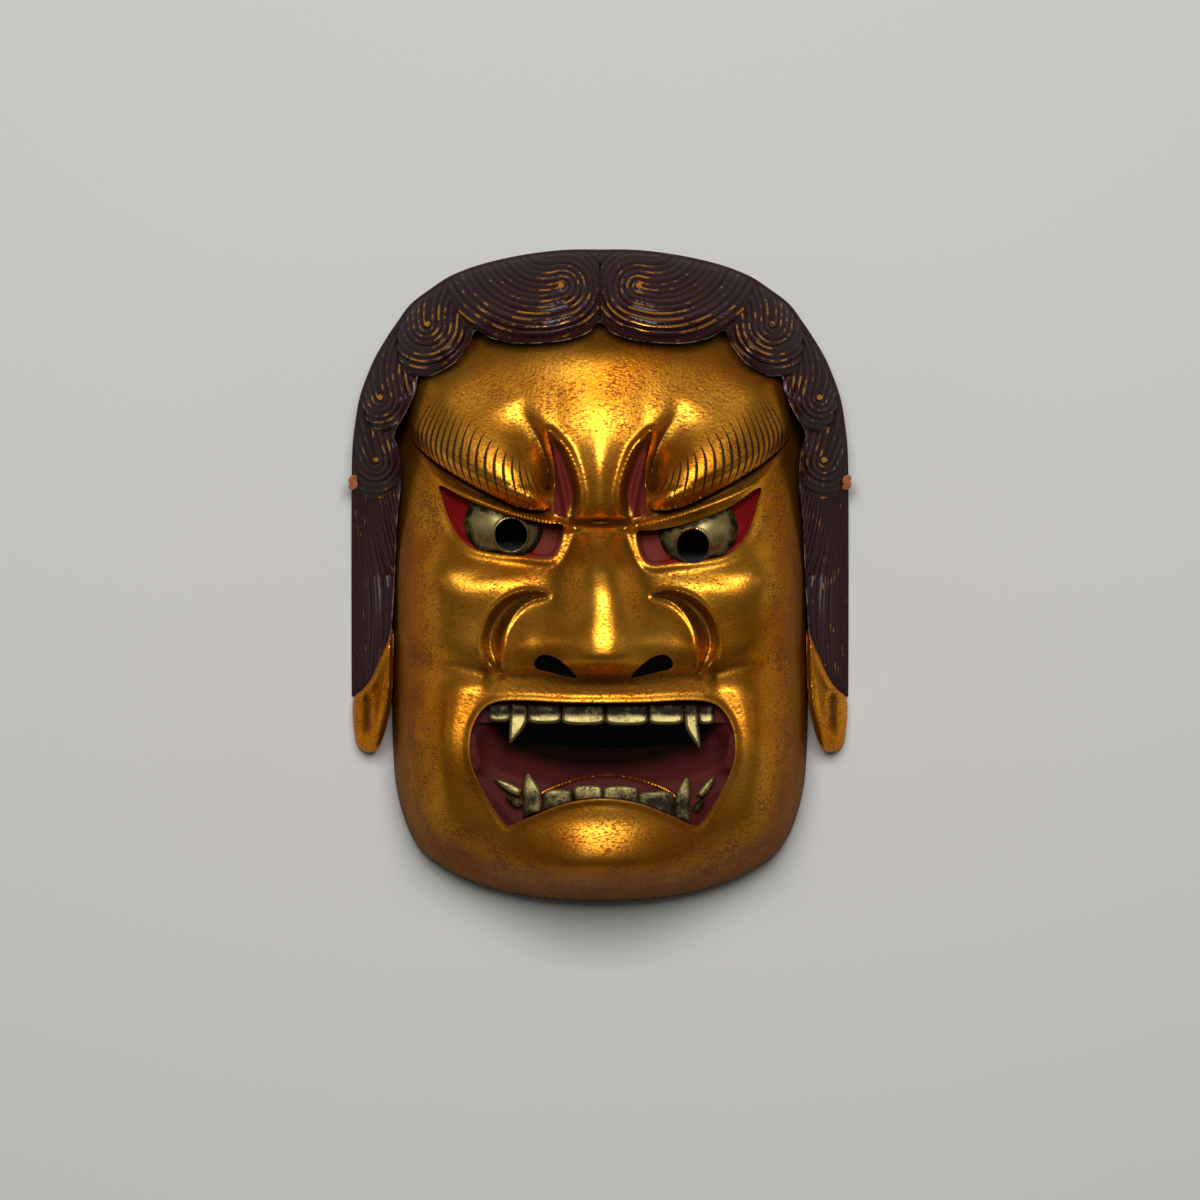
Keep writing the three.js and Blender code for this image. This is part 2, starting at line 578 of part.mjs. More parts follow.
// a ridge of triangular section that follows a line over the hair
function strand(points) {
  const line3 = curve(points, 1).map(([x, y]) => {
    const rho = Math.hypot(x, y) / reachWhole(Math.atan2(y, x));
    return new THREE.Vector3(x, y, hairHeight(x, y, rho));
  });
  const spots = line3.flatMap((here, i) => {
    const ahead = line3[Math.min(i + 1, line3.length - 1)].clone().sub(line3[Math.max(i - 1, 0)]);
    const sideways = new THREE.Vector3(-ahead.y, ahead.x, 0).setLength(STRAND_HALF);
    const thin = i === 0 || i === line3.length - 1 ? 0.3 : 1;
    const foot = here.clone().setZ(here.z - STRAND_ROOT);
    return [
      foot.clone().add(sideways),
      foot.clone().sub(sideways),
      here.clone().setZ(here.z + STRAND_HIGH * thin),
    ];
  });
  const faces = [[0, 1, 2]];
  for (let i = 0; i < line3.length - 1; i++) {
    for (let k = 0; k < 3; k++) {
      const [a, b] = [3 * i + k, 3 * i + ((k + 1) % 3)];
      faces.push([a, a + 3, b], [b, a + 3, b + 3]);
    }
  }
  const last = spots.length - 1;
  faces.push([last, last - 1, last - 2]);
  const geometry = new THREE.BufferGeometry();
  geometry.setAttribute('position', new THREE.Float32BufferAttribute(spots.flatMap((v) => v.toArray()), 3));
  geometry.setIndex(faces.flat());
  return solid(geometry);
}

// each curl winds inwards, clockwise on the right of the face, and the largest trails a tail
function curlLine({ curl, reach, start, tail = [] }) {
  const steps = Math.round(7.5 * CURL_TURNS);
  const points = [...tail];
  for (let i = 0; i <= steps; i++) {
    const angle = THREE.MathUtils.degToRad(start) - (2 * Math.PI * CURL_TURNS * i) / steps;
    const r = reach + ((2.6 - reach) * i) / steps;
    points.push([curl[0] + r * Math.cos(angle), curl[1] + r * Math.sin(angle)]);
  }
  return points;
}

const sideLine = (x, i) => [27, 4, -21 - 6 * i].map((y) => [x, y]);

function makeMask() {
  const hair = sheet(128, 1.3, reachWhole, 1, hairHeight);
  const strands = [...LOCKS.map(curlLine), ...SIDE_STRANDS.map(sideLine)];
  const brow = sheet(128, 1.1, reachFace, 1, browHeight);
  const ears = sheet(64, 1.2, reachWhole, 1, earHeight);
  let body = sheet(128, 1.0, reachFace, 1, faceHeight);
  for (const turned of [(points) => points, mirrored]) {
    body = body.add(hair.intersect(block(turned(hairCurve), BELOW, TOP)));
    body = body.add(ears.intersect(block(turned(earCurve), BELOW, TOP)));
    body = body.add(brow.intersect(block(turned(browRegion), BROW_FLOOR, TOP)));
    for (const points of strands) body = body.add(strand(turned(points)));
  }
  const cut = (tool) => {
    body = body.subtract(tool);
  };
  cut(sheet(64, 1.2, reachFace, HOLLOW_SCALE, hollowHeight));
  const hole = new THREE.CylinderGeometry(CORD_HOLE.radius, CORD_HOLE.radius, CORD_HOLE.length, 12);
  for (const way of [1, -1]) {
    const turned = (points) => (way > 0 ? points : mirrored(points));
    cut(block(turned(slitCurve), SLIT_FLOOR, TOP));
    cut(block(turned(crescentCurve), CRESCENT_FLOOR, TOP));
    cut(block(turned(ellipse(...NOSTRIL, NOSTRIL_TURN, 14)), THROUGH, TOP));
    cut(solid(hole.clone().rotateZ(Math.PI / 2).translate(way * CORD_HOLE.x, CORD_HOLE.y, CORD_HOLE.z)));
  }
  for (const name of ['left', 'right']) {
    cut(block(sockets[name], SOCKET_FLOOR, TOP));
    cut(block(ellipse(...PUPILS[name], BORE_RADIUS, BORE_RADIUS, 0, 16), THROUGH, TOP));
  }
  cut(block(mouthCurve, MOUTH_LEDGE, TOP));
  cut(ball(...BOWL));
  cut(block(ellipse(...THROAT, 0, 24), THROUGH, TOP));
  return geometryOf(combed(body));
}

// a metal eye: a shell beaten to a ball, cut to the lids, with the pupil as a hole
function makeEye(name) {
  const [x, y] = EYEBALLS[name];
  const z = EYE_TOP - EYE_RADIUS;
  const inner = EYE_RADIUS - EYE_SHEET;
  const shell = ball(x, y, z, EYE_RADIUS, EYE_RADIUS, EYE_RADIUS, 18, 14)
    .subtract(ball(x, y, z, inner, inner, inner, 14, 10));
  const opening = block(inset(sockets[name], GAP), SOCKET_FLOOR + GAP, TOP);
  const pupil = block(ellipse(...PUPILS[name], PUPIL_RADIUS, PUPIL_RADIUS, 0, 20), THROUGH, TOP);
  return geometryOf(shell.intersect(opening).subtract(pupil));
}

const mouthRoom = block(inset(mouthCurve, GAP), MOUTH_LEDGE + GAP, TOP);

function toothBody(points, x) {
  const thick = TOOTH_THICK + TOOTH_RISE * (1 - (x / ROW_HALF) ** 2);
  const shape = new THREE.Shape(points.map((p) => new THREE.Vector2(p[0], p[1])));
  const geometry = new THREE.ExtrudeGeometry(shape, { depth: thick, bevelEnabled: false });
  return geometryOf(solid(geometry.translate(0, 0, MOUTH_LEDGE + GAP / 2)).intersect(mouthRoom));
}

// an incisor's plate has round corners at its free edge, and a fang runs to a tip
function makeTooth({ x, width, gum, edge, tip }) {
  const half = width / 2;
  const way = Math.sign(edge - gum);
  const fang = [
    [x + half, edge], [x + half * 0.35, edge + tip * way * 0.6],
    [x - half * 0.2, edge + tip * way], [x - half, edge],
  ];
  const shoulder = edge - CORNER * way;
  const plate = [
    [x + half, shoulder], [x + half - CORNER, edge],
    [x - half + CORNER, edge], [x - half, shoulder],
  ];
  const free = tip > 0 ? fang : plate;
  return toothBody([[x - half, gum], [x + half, gum], ...free], x);
}

function makeLeaf({ root, tip, width }) {
  const dx = tip[0] - root[0];
  const dy = tip[1] - root[1];
  const length = Math.hypot(dx, dy);
  const sideways = (t, w) => [root[0] + dx * t - (dy / length) * w, root[1] + dy * t + (dx / length) * w];
  const half = width / 2;
  const leaf = [[0, -half], [0.5, -half * 0.9], [1, 0], [0.5, half * 0.9], [0, half]];
  return toothBody(leaf.map(([t, w]) => sideways(t, w)), root[0]);
}

// the cord lies across the hollow and goes out through the side holes to its knots
const CORD_ROUTE = [
  [80.4, 31, 12], [76, 31, 12], [71.5, 31, 12], [67, 31, 12], [63, 30.8, 11.7], [60, 30, 9.7],
  [57, 28.6, 6.2], [54, 26.8, 3], [50, 24.8, 1.5], [43, 21.4, 1.2], [33, 17.5, 1.2], [22, 15.5, 1.2],
  [10, 16, 1.2], [0, 17.5, 1.2], [-11, 19, 1.2], [-22, 19, 1.2], [-33, 18.6, 1.2], [-43, 21.4, 1.2],
  [-50, 24.8, 1.5], [-54, 26.8, 3], [-57, 28.6, 6.2], [-60, 30, 9.7], [-63, 30.8, 11.7],
  [-67, 31, 12], [-71.5, 31, 12], [-76, 31, 12], [-80.4, 31, 12],
];

function makeCord() {
  const route = CORD_ROUTE.map((p) => new THREE.Vector3(...p));
  const path = new THREE.CatmullRomCurve3(route, false, 'catmullrom', 0.5);
  const round = ellipse(0, 0, CORD_RADIUS, CORD_RADIUS, 0, 8).map(([x, y]) => new THREE.Vector2(x, y));
  const shape = { steps: 32, extrudePath: path, bevelEnabled: false };
  return geometryOf(solid(new THREE.ExtrudeGeometry(new THREE.Shape(round), shape)));
}

const KNOT = { x: 82.5, rx: 1.7, ry: 2.7, rz: 2.3 };

const material = (name, color, roughness, metalness) =>
  new THREE.MeshStandardMaterial({ name, color, roughness, metalness });
const gilt = material('gilt_lacquer', 0xc4821e, 0.32, 0.8);
const brass = material('aged_brass', 0x8f8355, 0.4, 0.9);
const silk = material('orange_cord', 0x9a4a1c, 0.85, 0);

const group = new THREE.Group();

function addPiece(name, geometry, look) {
  const mesh = new THREE.Mesh(geometry, look);
  mesh.name = name;
  group.add(mesh);
}

addPiece('mask', makeMask(), gilt);
for (const name of ['left', 'right']) addPiece(`eye_${name}`, makeEye(name), brass);
for (const tooth of [...UPPER_TEETH, ...LOWER_TEETH]) addPiece(tooth.name, makeTooth(tooth), brass);
for (const leaf of SIDE_LEAVES) addPiece(leaf.name, makeLeaf(leaf), brass);
addPiece('hanging_cord', makeCord(), silk);
for (const [name, way] of [['left', -1], ['right', 1]]) {
  const knot = ball(way * KNOT.x, CORD_HOLE.y, CORD_HOLE.z, KNOT.rx, KNOT.ry, KNOT.rz, 10, 6);
  addPiece(`cord_knot_${name}`, geometryOf(knot), silk);
}

export default group;
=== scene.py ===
# %% [markdown]
# # A gilded mask, carved in code
# The mask is one block of wood, hollowed from behind, with beaten metal eyes and teeth. A carver
# works from a swelling form down to small folds, and this file does the same with numbers. Every
# form below is a height over the surface that the mask lies on, so one set of functions shapes the
# face, and the same functions later say where gold, red lacquer and ink belong.

# %% Load the frame
import math

import bmesh
import bpy
import numpy as np
from mathutils import Matrix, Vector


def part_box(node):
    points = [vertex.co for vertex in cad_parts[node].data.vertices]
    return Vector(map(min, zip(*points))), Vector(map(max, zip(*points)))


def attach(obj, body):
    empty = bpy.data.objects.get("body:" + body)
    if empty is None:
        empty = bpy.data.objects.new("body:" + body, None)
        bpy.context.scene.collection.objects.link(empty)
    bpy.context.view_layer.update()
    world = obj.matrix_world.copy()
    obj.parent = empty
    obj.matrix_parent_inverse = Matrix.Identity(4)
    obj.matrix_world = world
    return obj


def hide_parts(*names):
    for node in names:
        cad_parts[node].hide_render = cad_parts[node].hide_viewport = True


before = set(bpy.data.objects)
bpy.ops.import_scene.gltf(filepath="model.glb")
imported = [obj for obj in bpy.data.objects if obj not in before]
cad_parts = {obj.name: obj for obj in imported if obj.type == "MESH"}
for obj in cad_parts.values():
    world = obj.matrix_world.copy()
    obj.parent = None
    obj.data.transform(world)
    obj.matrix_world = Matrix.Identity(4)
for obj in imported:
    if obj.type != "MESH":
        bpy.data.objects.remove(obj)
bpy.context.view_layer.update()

MM = 0.001

# %% [markdown]
# ## The camera
# The photograph looks straight at the mask. A mask can't stand, so it lies on its back rim and the
# camera looks straight down. A long lens from far off keeps the forms where the photograph has them,
# because near ones then hardly grow. The frame's width comes from the mask's own width.

# %% Camera
MASK_WIDE = 166.8
MASK_SHARE = 500 / 1200
VIEW_DISTANCE = 3500
VIEW_CENTRE = (0, -8.33)
VIEW_PLANE = 20
SENSOR_WIDE = 36
frame_width = MASK_WIDE / MASK_SHARE
lens = bpy.data.cameras.new("camera")
lens.sensor_width = SENSOR_WIDE
lens.lens = SENSOR_WIDE * VIEW_DISTANCE / frame_width
camera = bpy.data.objects.new("camera", lens)
camera.location = [c * MM for c in (*VIEW_CENTRE, VIEW_DISTANCE + VIEW_PLANE)]
bpy.context.scene.collection.objects.link(camera)
bpy.context.scene.camera = camera
print("focal length", round(lens.lens), "mm, frame", round(frame_width), "mm wide")

# %% [markdown]
# ## The hanging cord
# A twisted silk cord runs through a hole in each side of the real mask and ends in two knots, the
# only part that shows from the front. A curve with a three-lobed section, turned along its length,
# gives the twist. The route lies across the hollow at the back, on the surface.

# %% Twisted cord
CORD_TWIST = 7.0
CORD_SMOOTH = 12


def as_mesh(source):
    """the finished mesh of a curve or of a piece with modifiers, under the same name"""
    view = bpy.context.evaluated_depsgraph_get()
    mesh = bpy.data.meshes.new_from_object(source.evaluated_get(view))
    name = source.name
    bpy.data.objects.remove(source)
    piece = bpy.data.objects.new(name, mesh)
    bpy.context.scene.collection.objects.link(piece)
    return piece


def lobed_section(name, radius, lobes=3, around=24, dent=0.16):
    """a round section with a dent between the strands"""
    section = bpy.data.curves.new(name, "CURVE")
    spline = section.splines.new("POLY")
    spline.points.add(around - 1)
    for i, point in enumerate(spline.points):
        angle = math.tau * i / around
        r = radius * (1 - dent + dent * abs(math.cos(angle * lobes / 2))) * MM
        point.co = (r * math.cos(angle), r * math.sin(angle), 0, 1)
    spline.use_cyclic_u = True
    holder = bpy.data.objects.new(name, section)
    bpy.context.scene.collection.objects.link(holder)
    return holder


def laid_cord(name, route, radius, closed=False):
    """a twisted cord along a smooth route, in millimetres"""
    section = lobed_section(name + "_section", radius)
    line = bpy.data.curves.new(name, "CURVE")
    line.dimensions = "3D"
    line.resolution_u = CORD_SMOOTH
    line.bevel_mode = "OBJECT"
    line.bevel_object = section
    line.use_fill_caps = True
    spline = line.splines.new("BEZIER")
    spline.bezier_points.add(len(route) - 1)
    run = 0
    for i, (point, spot) in enumerate(zip(spline.bezier_points, route)):
        run += math.dist(spot, route[i - 1]) if i else 0
        point.co = [c * MM for c in spot]
        point.handle_left_type = point.handle_right_type = "AUTO"
        point.tilt = math.tau * run / CORD_TWIST
    spline.use_cyclic_u = closed
    cord = bpy.data.objects.new(name, line)
    bpy.context.scene.collection.objects.link(cord)
    shape = as_mesh(cord)
    bpy.data.objects.remove(section)
    return shape, run


print("the strands turn once in", CORD_TWIST, "mm")

# %% Cord
CORD_THICK = 2.2
CORD_ROUTE = [
    (80.4, 31, 12), (76, 31, 12), (71.5, 31, 12), (67, 31, 12), (63, 30.8, 11.7), (60, 30, 9.7),
    (57, 28.6, 6.2), (54, 26.8, 3), (50, 24.8, 1.5), (43, 21.4, 1.2), (33, 17.5, 1.2), (22, 15.5, 1.2),
    (10, 16, 1.2), (0, 17.5, 1.2), (-11, 19, 1.2), (-22, 19, 1.2), (-33, 18.6, 1.2), (-43, 21.4, 1.2),
    (-50, 24.8, 1.5), (-54, 26.8, 3), (-57, 28.6, 6.2), (-60, 30, 9.7), (-63, 30.8, 11.7),
    (-67, 31, 12), (-71.5, 31, 12), (-76, 31, 12), (-80.4, 31, 12),
]
cord, cord_long = laid_cord("hanging_cord_twisted", CORD_ROUTE, CORD_THICK / 2)
print("cord", round(cord_long, 1), "mm long,", len(cord.data.polygons), "faces")

# %% [markdown]
# ## The knots
# Each end is an overhand knot pulled tight against the side of the mask. An overhand knot is a
# trefoil, and a trefoil is two sines and two cosines, squeezed here into the knot's box.

# %% Knots
KNOT_POINTS = 40
KNOT_THIN = 0.75
KNOT_PULLED = 0.95


def tied_knot(side):
    low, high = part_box(f"cord_knot_{side}")
    middle = [(a + b) / 2 / MM for a, b in zip(low, high)]
    half = [(b - a) / 2 / MM for a, b in zip(low, high)]
    route = []
    for i in range(KNOT_POINTS):
        a = math.tau * i / KNOT_POINTS
        across = (math.sin(a) + 2 * math.sin(2 * a)) / 3
        up = (math.cos(a) - 2 * math.cos(2 * a)) / 3
        out = math.sin(3 * a)
        route.append((middle[0] + (half[0] - KNOT_THIN) * out * KNOT_PULLED,
                      middle[1] + (half[1] - KNOT_THIN) * across,
                      middle[2] + (half[2] - KNOT_THIN) * up))
    knot, _ = laid_cord(f"knot_tied_{side}", route, KNOT_THIN, closed=True)
    return knot


knots = {side: tied_knot(side) for side in ("left", "right")}
print("knots", [len(k.data.polygons) for k in knots.values()], "faces")

# %% [markdown]
# ## Lines and swellings
# Carving in code needs few tools: a soft step, a swelling like a thumb of clay, a smooth line
# through a few points, and the distance from any place to such a line. They work on whole arrays
# at once, so a surface of a hundred thousand points takes a moment.

# %% Steps and swellings
def ease(x, start, stop):
    """0 up to the start, 1 from the stop on, and a soft step between them"""
    t = np.clip((np.asarray(x, float) - start) / (stop - start), 0, 1)
    return t * t * (3 - 2 * t)


def bell(x, middle, width):
    return np.exp(-(((x - middle) / width) ** 2))


def swell(u, v, cu, cv, ru, rv, high, turn=0):
    """a form's middle, its half widths, its height and its turn in degrees"""
    c, s = math.cos(math.radians(turn)), math.sin(math.radians(turn))
    a = ((u - cu) * c + (v - cv) * s) / ru
    b = (-(u - cu) * s + (v - cv) * c) / rv
    return high * np.exp(-(a * a + b * b))


def swells(u, v, *forms):
    return sum(swell(u, v, *form) for form in forms)


def twin_swells(u, v, *forms):
    return swells(u, v, *forms) + swells(-u, v, *forms)


print("a bell 2 wide, 1 from its middle, is", round(float(bell(1, 0, 2)), 3), "high")

# %% Smooth lines
def smooth_line(points, steps=6, closed=False):
    """a line through the points, with so many steps between two of them"""
    p = np.array(points, float)
    n = len(p)
    ahead = np.roll(p, -1, 0) if closed else np.vstack([p[1:], 2 * p[-1] - p[-2]])
    behind = np.roll(p, 1, 0) if closed else np.vstack([2 * p[0] - p[1], p[:-1]])
    beyond = np.roll(p, -2, 0) if closed else np.vstack([p[2:], 2 * p[-1] - p[-2], p[-1]])
    t = np.linspace(0, 1, steps, endpoint=False)[None, :, None]
    a, b, c, d = (q[:, None, :] for q in (behind, p, ahead, beyond))
    bend, twist = 2 * a - 5 * b + 4 * c - d, 3 * b - a - 3 * c + d
    line = 0.5 * (2 * b + (c - a) * t + bend * t**2 + twist * t**3)
    spans = n if closed else n - 1
    line = line[:spans].reshape(-1, 2)
    return line if closed else np.vstack([line, p[-1:]])


def both_halves(points):
    return list(points) + [(-x, y) for x, y in points[-2:0:-1]]


def mirrored(line):
    return np.asarray(line, float)[::-1] * (-1, 1)


CORNERS = np.array([(0, 0), (1, 0), (1, 1), (0, 1)])
print("four corners make a ring of", len(smooth_line(CORNERS, closed=True)), "points")

# %% Distances to lines
def follow(u, v, line, margin=12.0):
    """distance to an open line, its side (1 on the left of the way) and the place along it, 0 to 1"""
    away, side, place = np.full(u.shape, float(margin)), np.ones(u.shape), np.zeros(u.shape)
    low, high = line.min(0) - margin, line.max(0) + margin
    near = (u > low[0]) & (u < high[0]) & (v > low[1]) & (v < high[1])
    x, y = u[near], v[near]
    best, s, w = np.full(x.shape, float(margin) ** 2), np.ones(x.shape), np.zeros(x.shape)
    for i, ((ax, ay), (dx, dy)) in enumerate(zip(line[:-1], np.diff(line, axis=0))):
        t = np.clip(((x - ax) * dx + (y - ay) * dy) / (dx * dx + dy * dy), 0, 1)
        ex, ey = x - ax - t * dx, y - ay - t * dy
        d = ex * ex + ey * ey
        closer = d < best
        best = np.where(closer, d, best)
        s = np.where(closer, np.sign(dx * ey - dy * ex), s)
        w = np.where(closer, (i + t) / (len(line) - 1), w)
    away[near], side[near], place[near] = np.sqrt(best), s, w
    return away, side, place


def depth_in(u, v, outline, margin=12.0):
    """distance to a closed outline, positive inside it"""
    away, _, _ = follow(u, v, np.vstack([outline, outline[:1]]), margin)
    odd = np.zeros(u.shape, bool)
    low, high = outline.min(0), outline.max(0)
    near = (u >= low[0]) & (u <= high[0]) & (v >= low[1]) & (v <= high[1])
    x, y = u[near], v[near]
    inside = np.zeros(x.shape, bool)
    for (ax, ay), (bx, by) in zip(outline, np.roll(outline, -1, 0)):
        if ay != by:
            inside ^= ((ay > y) != (by > y)) & (x < (bx - ax) * (y - ay) / (by - ay) + ax)
    odd[near] = inside
    return np.where(odd, away, -away)


def reach_of(edge):
    """how far an outline reaches from the middle, in each direction"""
    ring = smooth_line(both_halves(edge), 24, closed=True)
    angle = np.arctan2(ring[:, 1], ring[:, 0])
    order = np.argsort(angle)
    angle, far = angle[order], np.hypot(*ring[order].T)
    return lambda a: np.interp(a, angle, far, period=2 * math.pi)


print("a square's middle is", depth_in(np.array([0.5]), np.array([0.5]), CORNERS)[0], "inside it")

# %% [markdown]
# ## The outlines
# These are the lines that a carver draws on the block: the right half, seen from the front, from
# the crown down. The left half mirrors them, but for the eye, which sits a little higher.

# %% Outlines of the mask and the face
WHOLE_EDGE = [
    (0, 109.3), (13, 109.1), (27, 107.3), (40, 104.3), (50, 100.5), (57, 96), (63.5, 91), (68, 85),
    (72, 79), (75.5, 73), (78.5, 66), (80.8, 59), (82.3, 50), (83.2, 40), (83.4, 20), (83.4, -20),
    (83.3, -40), (83, -50), (81.5, -57.5), (77, -60.5), (71.5, -59.5), (69, -62.5), (68, -72),
    (65.5, -81), (60.5, -91), (51.7, -99), (40, -104.3), (26.7, -107.6), (0, -109.3),
]
FACE_EDGE = [
    (0, 100), (30, 98), (52, 88), (65, 70), (69.3, 45), (69.5, 10), (69.5, -25), (69.5, -55),
    (67.5, -75), (61, -91), (50, -99.5), (37, -104.8), (20, -108.3), (0, -109.3),
]
HAIR_LINE = [
    (0, 83.5), (4.4, 79.4), (12, 77), (20.5, 76.2), (29, 76.3), (36.5, 78.2), (41, 80.6),
    (43, 76.5), (47, 70.8), (51, 67.9), (56, 65.6), (60.2, 65.5), (61, 61), (63.5, 55),
    (66.8, 49.5), (68.2, 46), (66.5, 40), (66.2, 30), (67.5, 18), (68.4, 0), (69.5, -19),
]
print("outline", 2 * max(x for x, _ in WHOLE_EDGE), "mm wide and", 2 * WHOLE_EDGE[0][1], "mm tall")

# %% Lines of the features
BROW_EDGE = [
    (16.6, 47), (15.2, 37), (14.6, 28), (17.5, 21.6), (26, 22), (36.5, 26.6), (46.5, 32),
    (56, 38.5), (63, 46), (67, 56),
]
BROW_FOOT = [
    (0, 20.5), (9, 20.2), (14, 20.6), (17.5, 21.6), (26, 22), (36.5, 26.6), (46.5, 32), (56, 38.5),
    (63, 46), (67, 56), (69, 66),
]
LID_FOLD = [
    (65, 47), (59, 38), (52.7, 31), (42, 25.2), (29, 20.3), (19, 17.6), (12, 16.2), (0, 15.2),
]
SLIT = [
    (17, 47.2), (16.2, 41.8), (15.1, 36.4), (14.8, 31), (15.1, 25.7), (14.6, 19.8), (8, 19.2),
    (6.4, 25.7), (7, 30.6), (8.8, 36.4), (11.7, 42.2),
]
SLIT_NOSE_SIDE = [(17, 47.2), (11.7, 42.2), (8.8, 36.4), (7, 30.6), (6.4, 25.7), (8, 19.2)]
EYE = [
    (52.7, 29.5), (42, 24), (29, 19.2), (18.7, 17), (12, 15.8), (15.5, 5.8), (26, 6.2), (34, 7),
    (41.5, 8.6), (46, 12), (49.5, 17.5), (51.8, 25),
]
EYE_BAG = [(14, 2.6), (28, 1.6), (41, -0.6), (52, -5), (58, -12)]
CRESCENT = [
    (17, -7), (21, -5.2), (28, -5.9), (34.3, -10), (38.2, -16.7), (39, -24), (36.4, -30), (32, -33),
    (31.9, -28), (31.4, -20), (28.3, -13.5), (23.5, -9),
]
CHEEK_FOLD = [(32.5, -33.5), (43, -31.5), (57, -29), (70, -26)]
MOUTH = [
    (0, -42.2), (14, -42), (26, -41.4), (34.5, -41.8), (39.5, -44.5), (43, -51), (43.6, -59),
    (42.2, -65), (38, -73.5), (32.4, -82), (30, -82.6), (23, -79.5), (12, -75.2), (0, -73.6),
]
MOUTH_GROOVE = [
    (32.5, -35), (40.5, -40.5), (46, -50), (47.5, -60), (45.5, -69), (38, -80), (33, -86),
]
EAR = [
    (69.3, -18.1), (69, -28), (69.2, -36), (70.1, -44), (72.5, -54), (75.5, -59), (81, -58.2),
    (82.7, -50), (82.6, -41.5), (79, -38), (75.7, -33.3), (72.6, -26),
]
MOUTH_SHIFT = 0.8
EYE_DROP = 2.2
print("the eye is drawn through", len(EYE), "points, and the mouth's right half through", len(MOUTH))

# %% Smoothed lines
whole_reach, face_reach = reach_of(WHOLE_EDGE), reach_of(FACE_EDGE)
brow_line = smooth_line(BROW_EDGE)
brow_foot = smooth_line(BROW_FOOT)
lid_line = smooth_line(LID_FOLD)
slit_ring = smooth_line(SLIT, closed=True)
eye_ring = smooth_line(EYE, closed=True)
bag_line = smooth_line(EYE_BAG)
crescent_ring = smooth_line(CRESCENT, closed=True)
fold_line = smooth_line(CHEEK_FOLD)
mouth_ring = smooth_line(both_halves(MOUTH), closed=True) + (MOUTH_SHIFT, 0)
groove_line = smooth_line(MOUTH_GROOVE)
ear_ring = smooth_line(EAR, closed=True)
hair_line = smooth_line(HAIR_LINE)
print("the mouth's outline has", len(mouth_ring), "points")

# %% [markdown]
# ## The face as a height
# The face is a shallow dome, and its features are swellings, ridges and grooves added to it. The
# real carver leaves the high places standing and cuts round them, which gives the same surface.
# The height is a function of the place alone, so it can be asked again for any point later.

# %% Dome
FACE_DEPTH = 60
FACE_ROUND = (5.5, 1.9)
FADE = 0.12


def dome(rho, round_off, flat):
    """1 in the middle and 0 at the outline, where rho is 1"""
    return np.maximum(1 - rho**round_off, 0) ** (1 / flat)


def rho_of(u, v, reach):
    return np.hypot(u, v) / reach(np.arctan2(v, u))


def tapered(place, start, stop):
    """1 along a line, softly 0 at both of its ends"""
    return ease(place, 0, start) * (1 - ease(place, 1 - stop, 1))


print("half way out the dome keeps", round(float(dome(0.5, *FACE_ROUND)), 3), "of its height")

# %% Brow and frown
BROW_RIDGE = [(19, 23), (28, 26.5), (38, 31), (48, 37.5), (58, 46.5), (66, 58)]
BROW_CHANNEL = [(28, 58.5), (25, 52), (21.6, 46), (19.2, 40), (17.6, 35), (17.2, 29), (18, 24)]
BROW_HIGH, BROW_ABOVE, BROW_BELOW = 10.0, 21.0, 9.0
CHANNEL_DEEP, CHANNEL_OUTER, CHANNEL_INNER = 6.4, 8.5, 3.4


def brow_swelling(m, v):
    ridge, side, _ = follow(m, v, smooth_line(BROW_RIDGE), margin=45)
    channel, channel_side, place = follow(m, v, smooth_line(BROW_CHANNEL), margin=25)
    spread = np.where(side > 0, BROW_ABOVE, BROW_BELOW)
    wide = np.where(channel_side > 0, CHANNEL_OUTER, CHANNEL_INNER)
    roll = BROW_HIGH * np.exp(-((ridge / spread) ** 2.2)) * ease(m, 13, 23)
    return roll - CHANNEL_DEEP * bell(channel, 0, wide) * tapered(place, 0.42, 0.2)


def frown_height(u, m, v):
    """the column between the brows, the rims of the two slits, the nose's root and the brows"""
    column = 3.4 * bell(u, 0, 5.2) * ease(v, 15, 24) * (1 - ease(v, 30, 52))
    rim = 2.1 * bell(depth_in(m, v, slit_ring), -0.3, 1.3) * ease(v, 17, 24)
    root = 2.2 * bell(v, 17, 1.3) * (1 - ease(m, 8, 12))
    above, side, _ = follow(m, v, brow_foot, margin=16)
    return column + rim - root + brow_swelling(m, v) * ease(above * side, 0, 6)


brow_middle = brow_swelling(np.array([38.0]), np.array([31.0]))
print("the brow stands", round(float(brow_middle[0]), 1), "mm above the dome")

# %% Eyelids
def eye_drop(u, v):
    """how much lower the right eye sits, fading out round it"""
    return ease(u, 6, 18) * EYE_DROP * (1 - ease(v, 22, 34)) * ease(v, -12, 4)


def eye_height(u, m, v):
    """the lid's fold, the crease under the brow, the raised rim of the eye and the bag below it"""
    lid, _, lid_place = follow(m, v, lid_line)
    brow, side, brow_place = follow(m, v, brow_line)
    drop = eye_drop(u, v)
    rim = depth_in(m, v + drop, eye_ring)
    bag, _, bag_place = follow(m, v + drop, bag_line)
    crease = bell(brow, 1.0, 1.6) * ease(brow * side, -0.8, 0.2) * ease(brow_place, 0.28, 0.45)
    return (2.2 * bell(lid, 0, 1.4) * ease(lid_place, 0, 0.25) - 2.4 * crease
            + 1.9 * bell(np.minimum(rim + 0.3, 0), 0, 1.9)
            - 0.3 * bell(bag, 0, 2.8) * tapered(bag_place, 0.3, 0.6))


print("the right eye sits", round(float(eye_drop(30.0, 14.0)), 1), "mm lower than the left")

# %% Nose
NOSE_SHIFT = 1.2


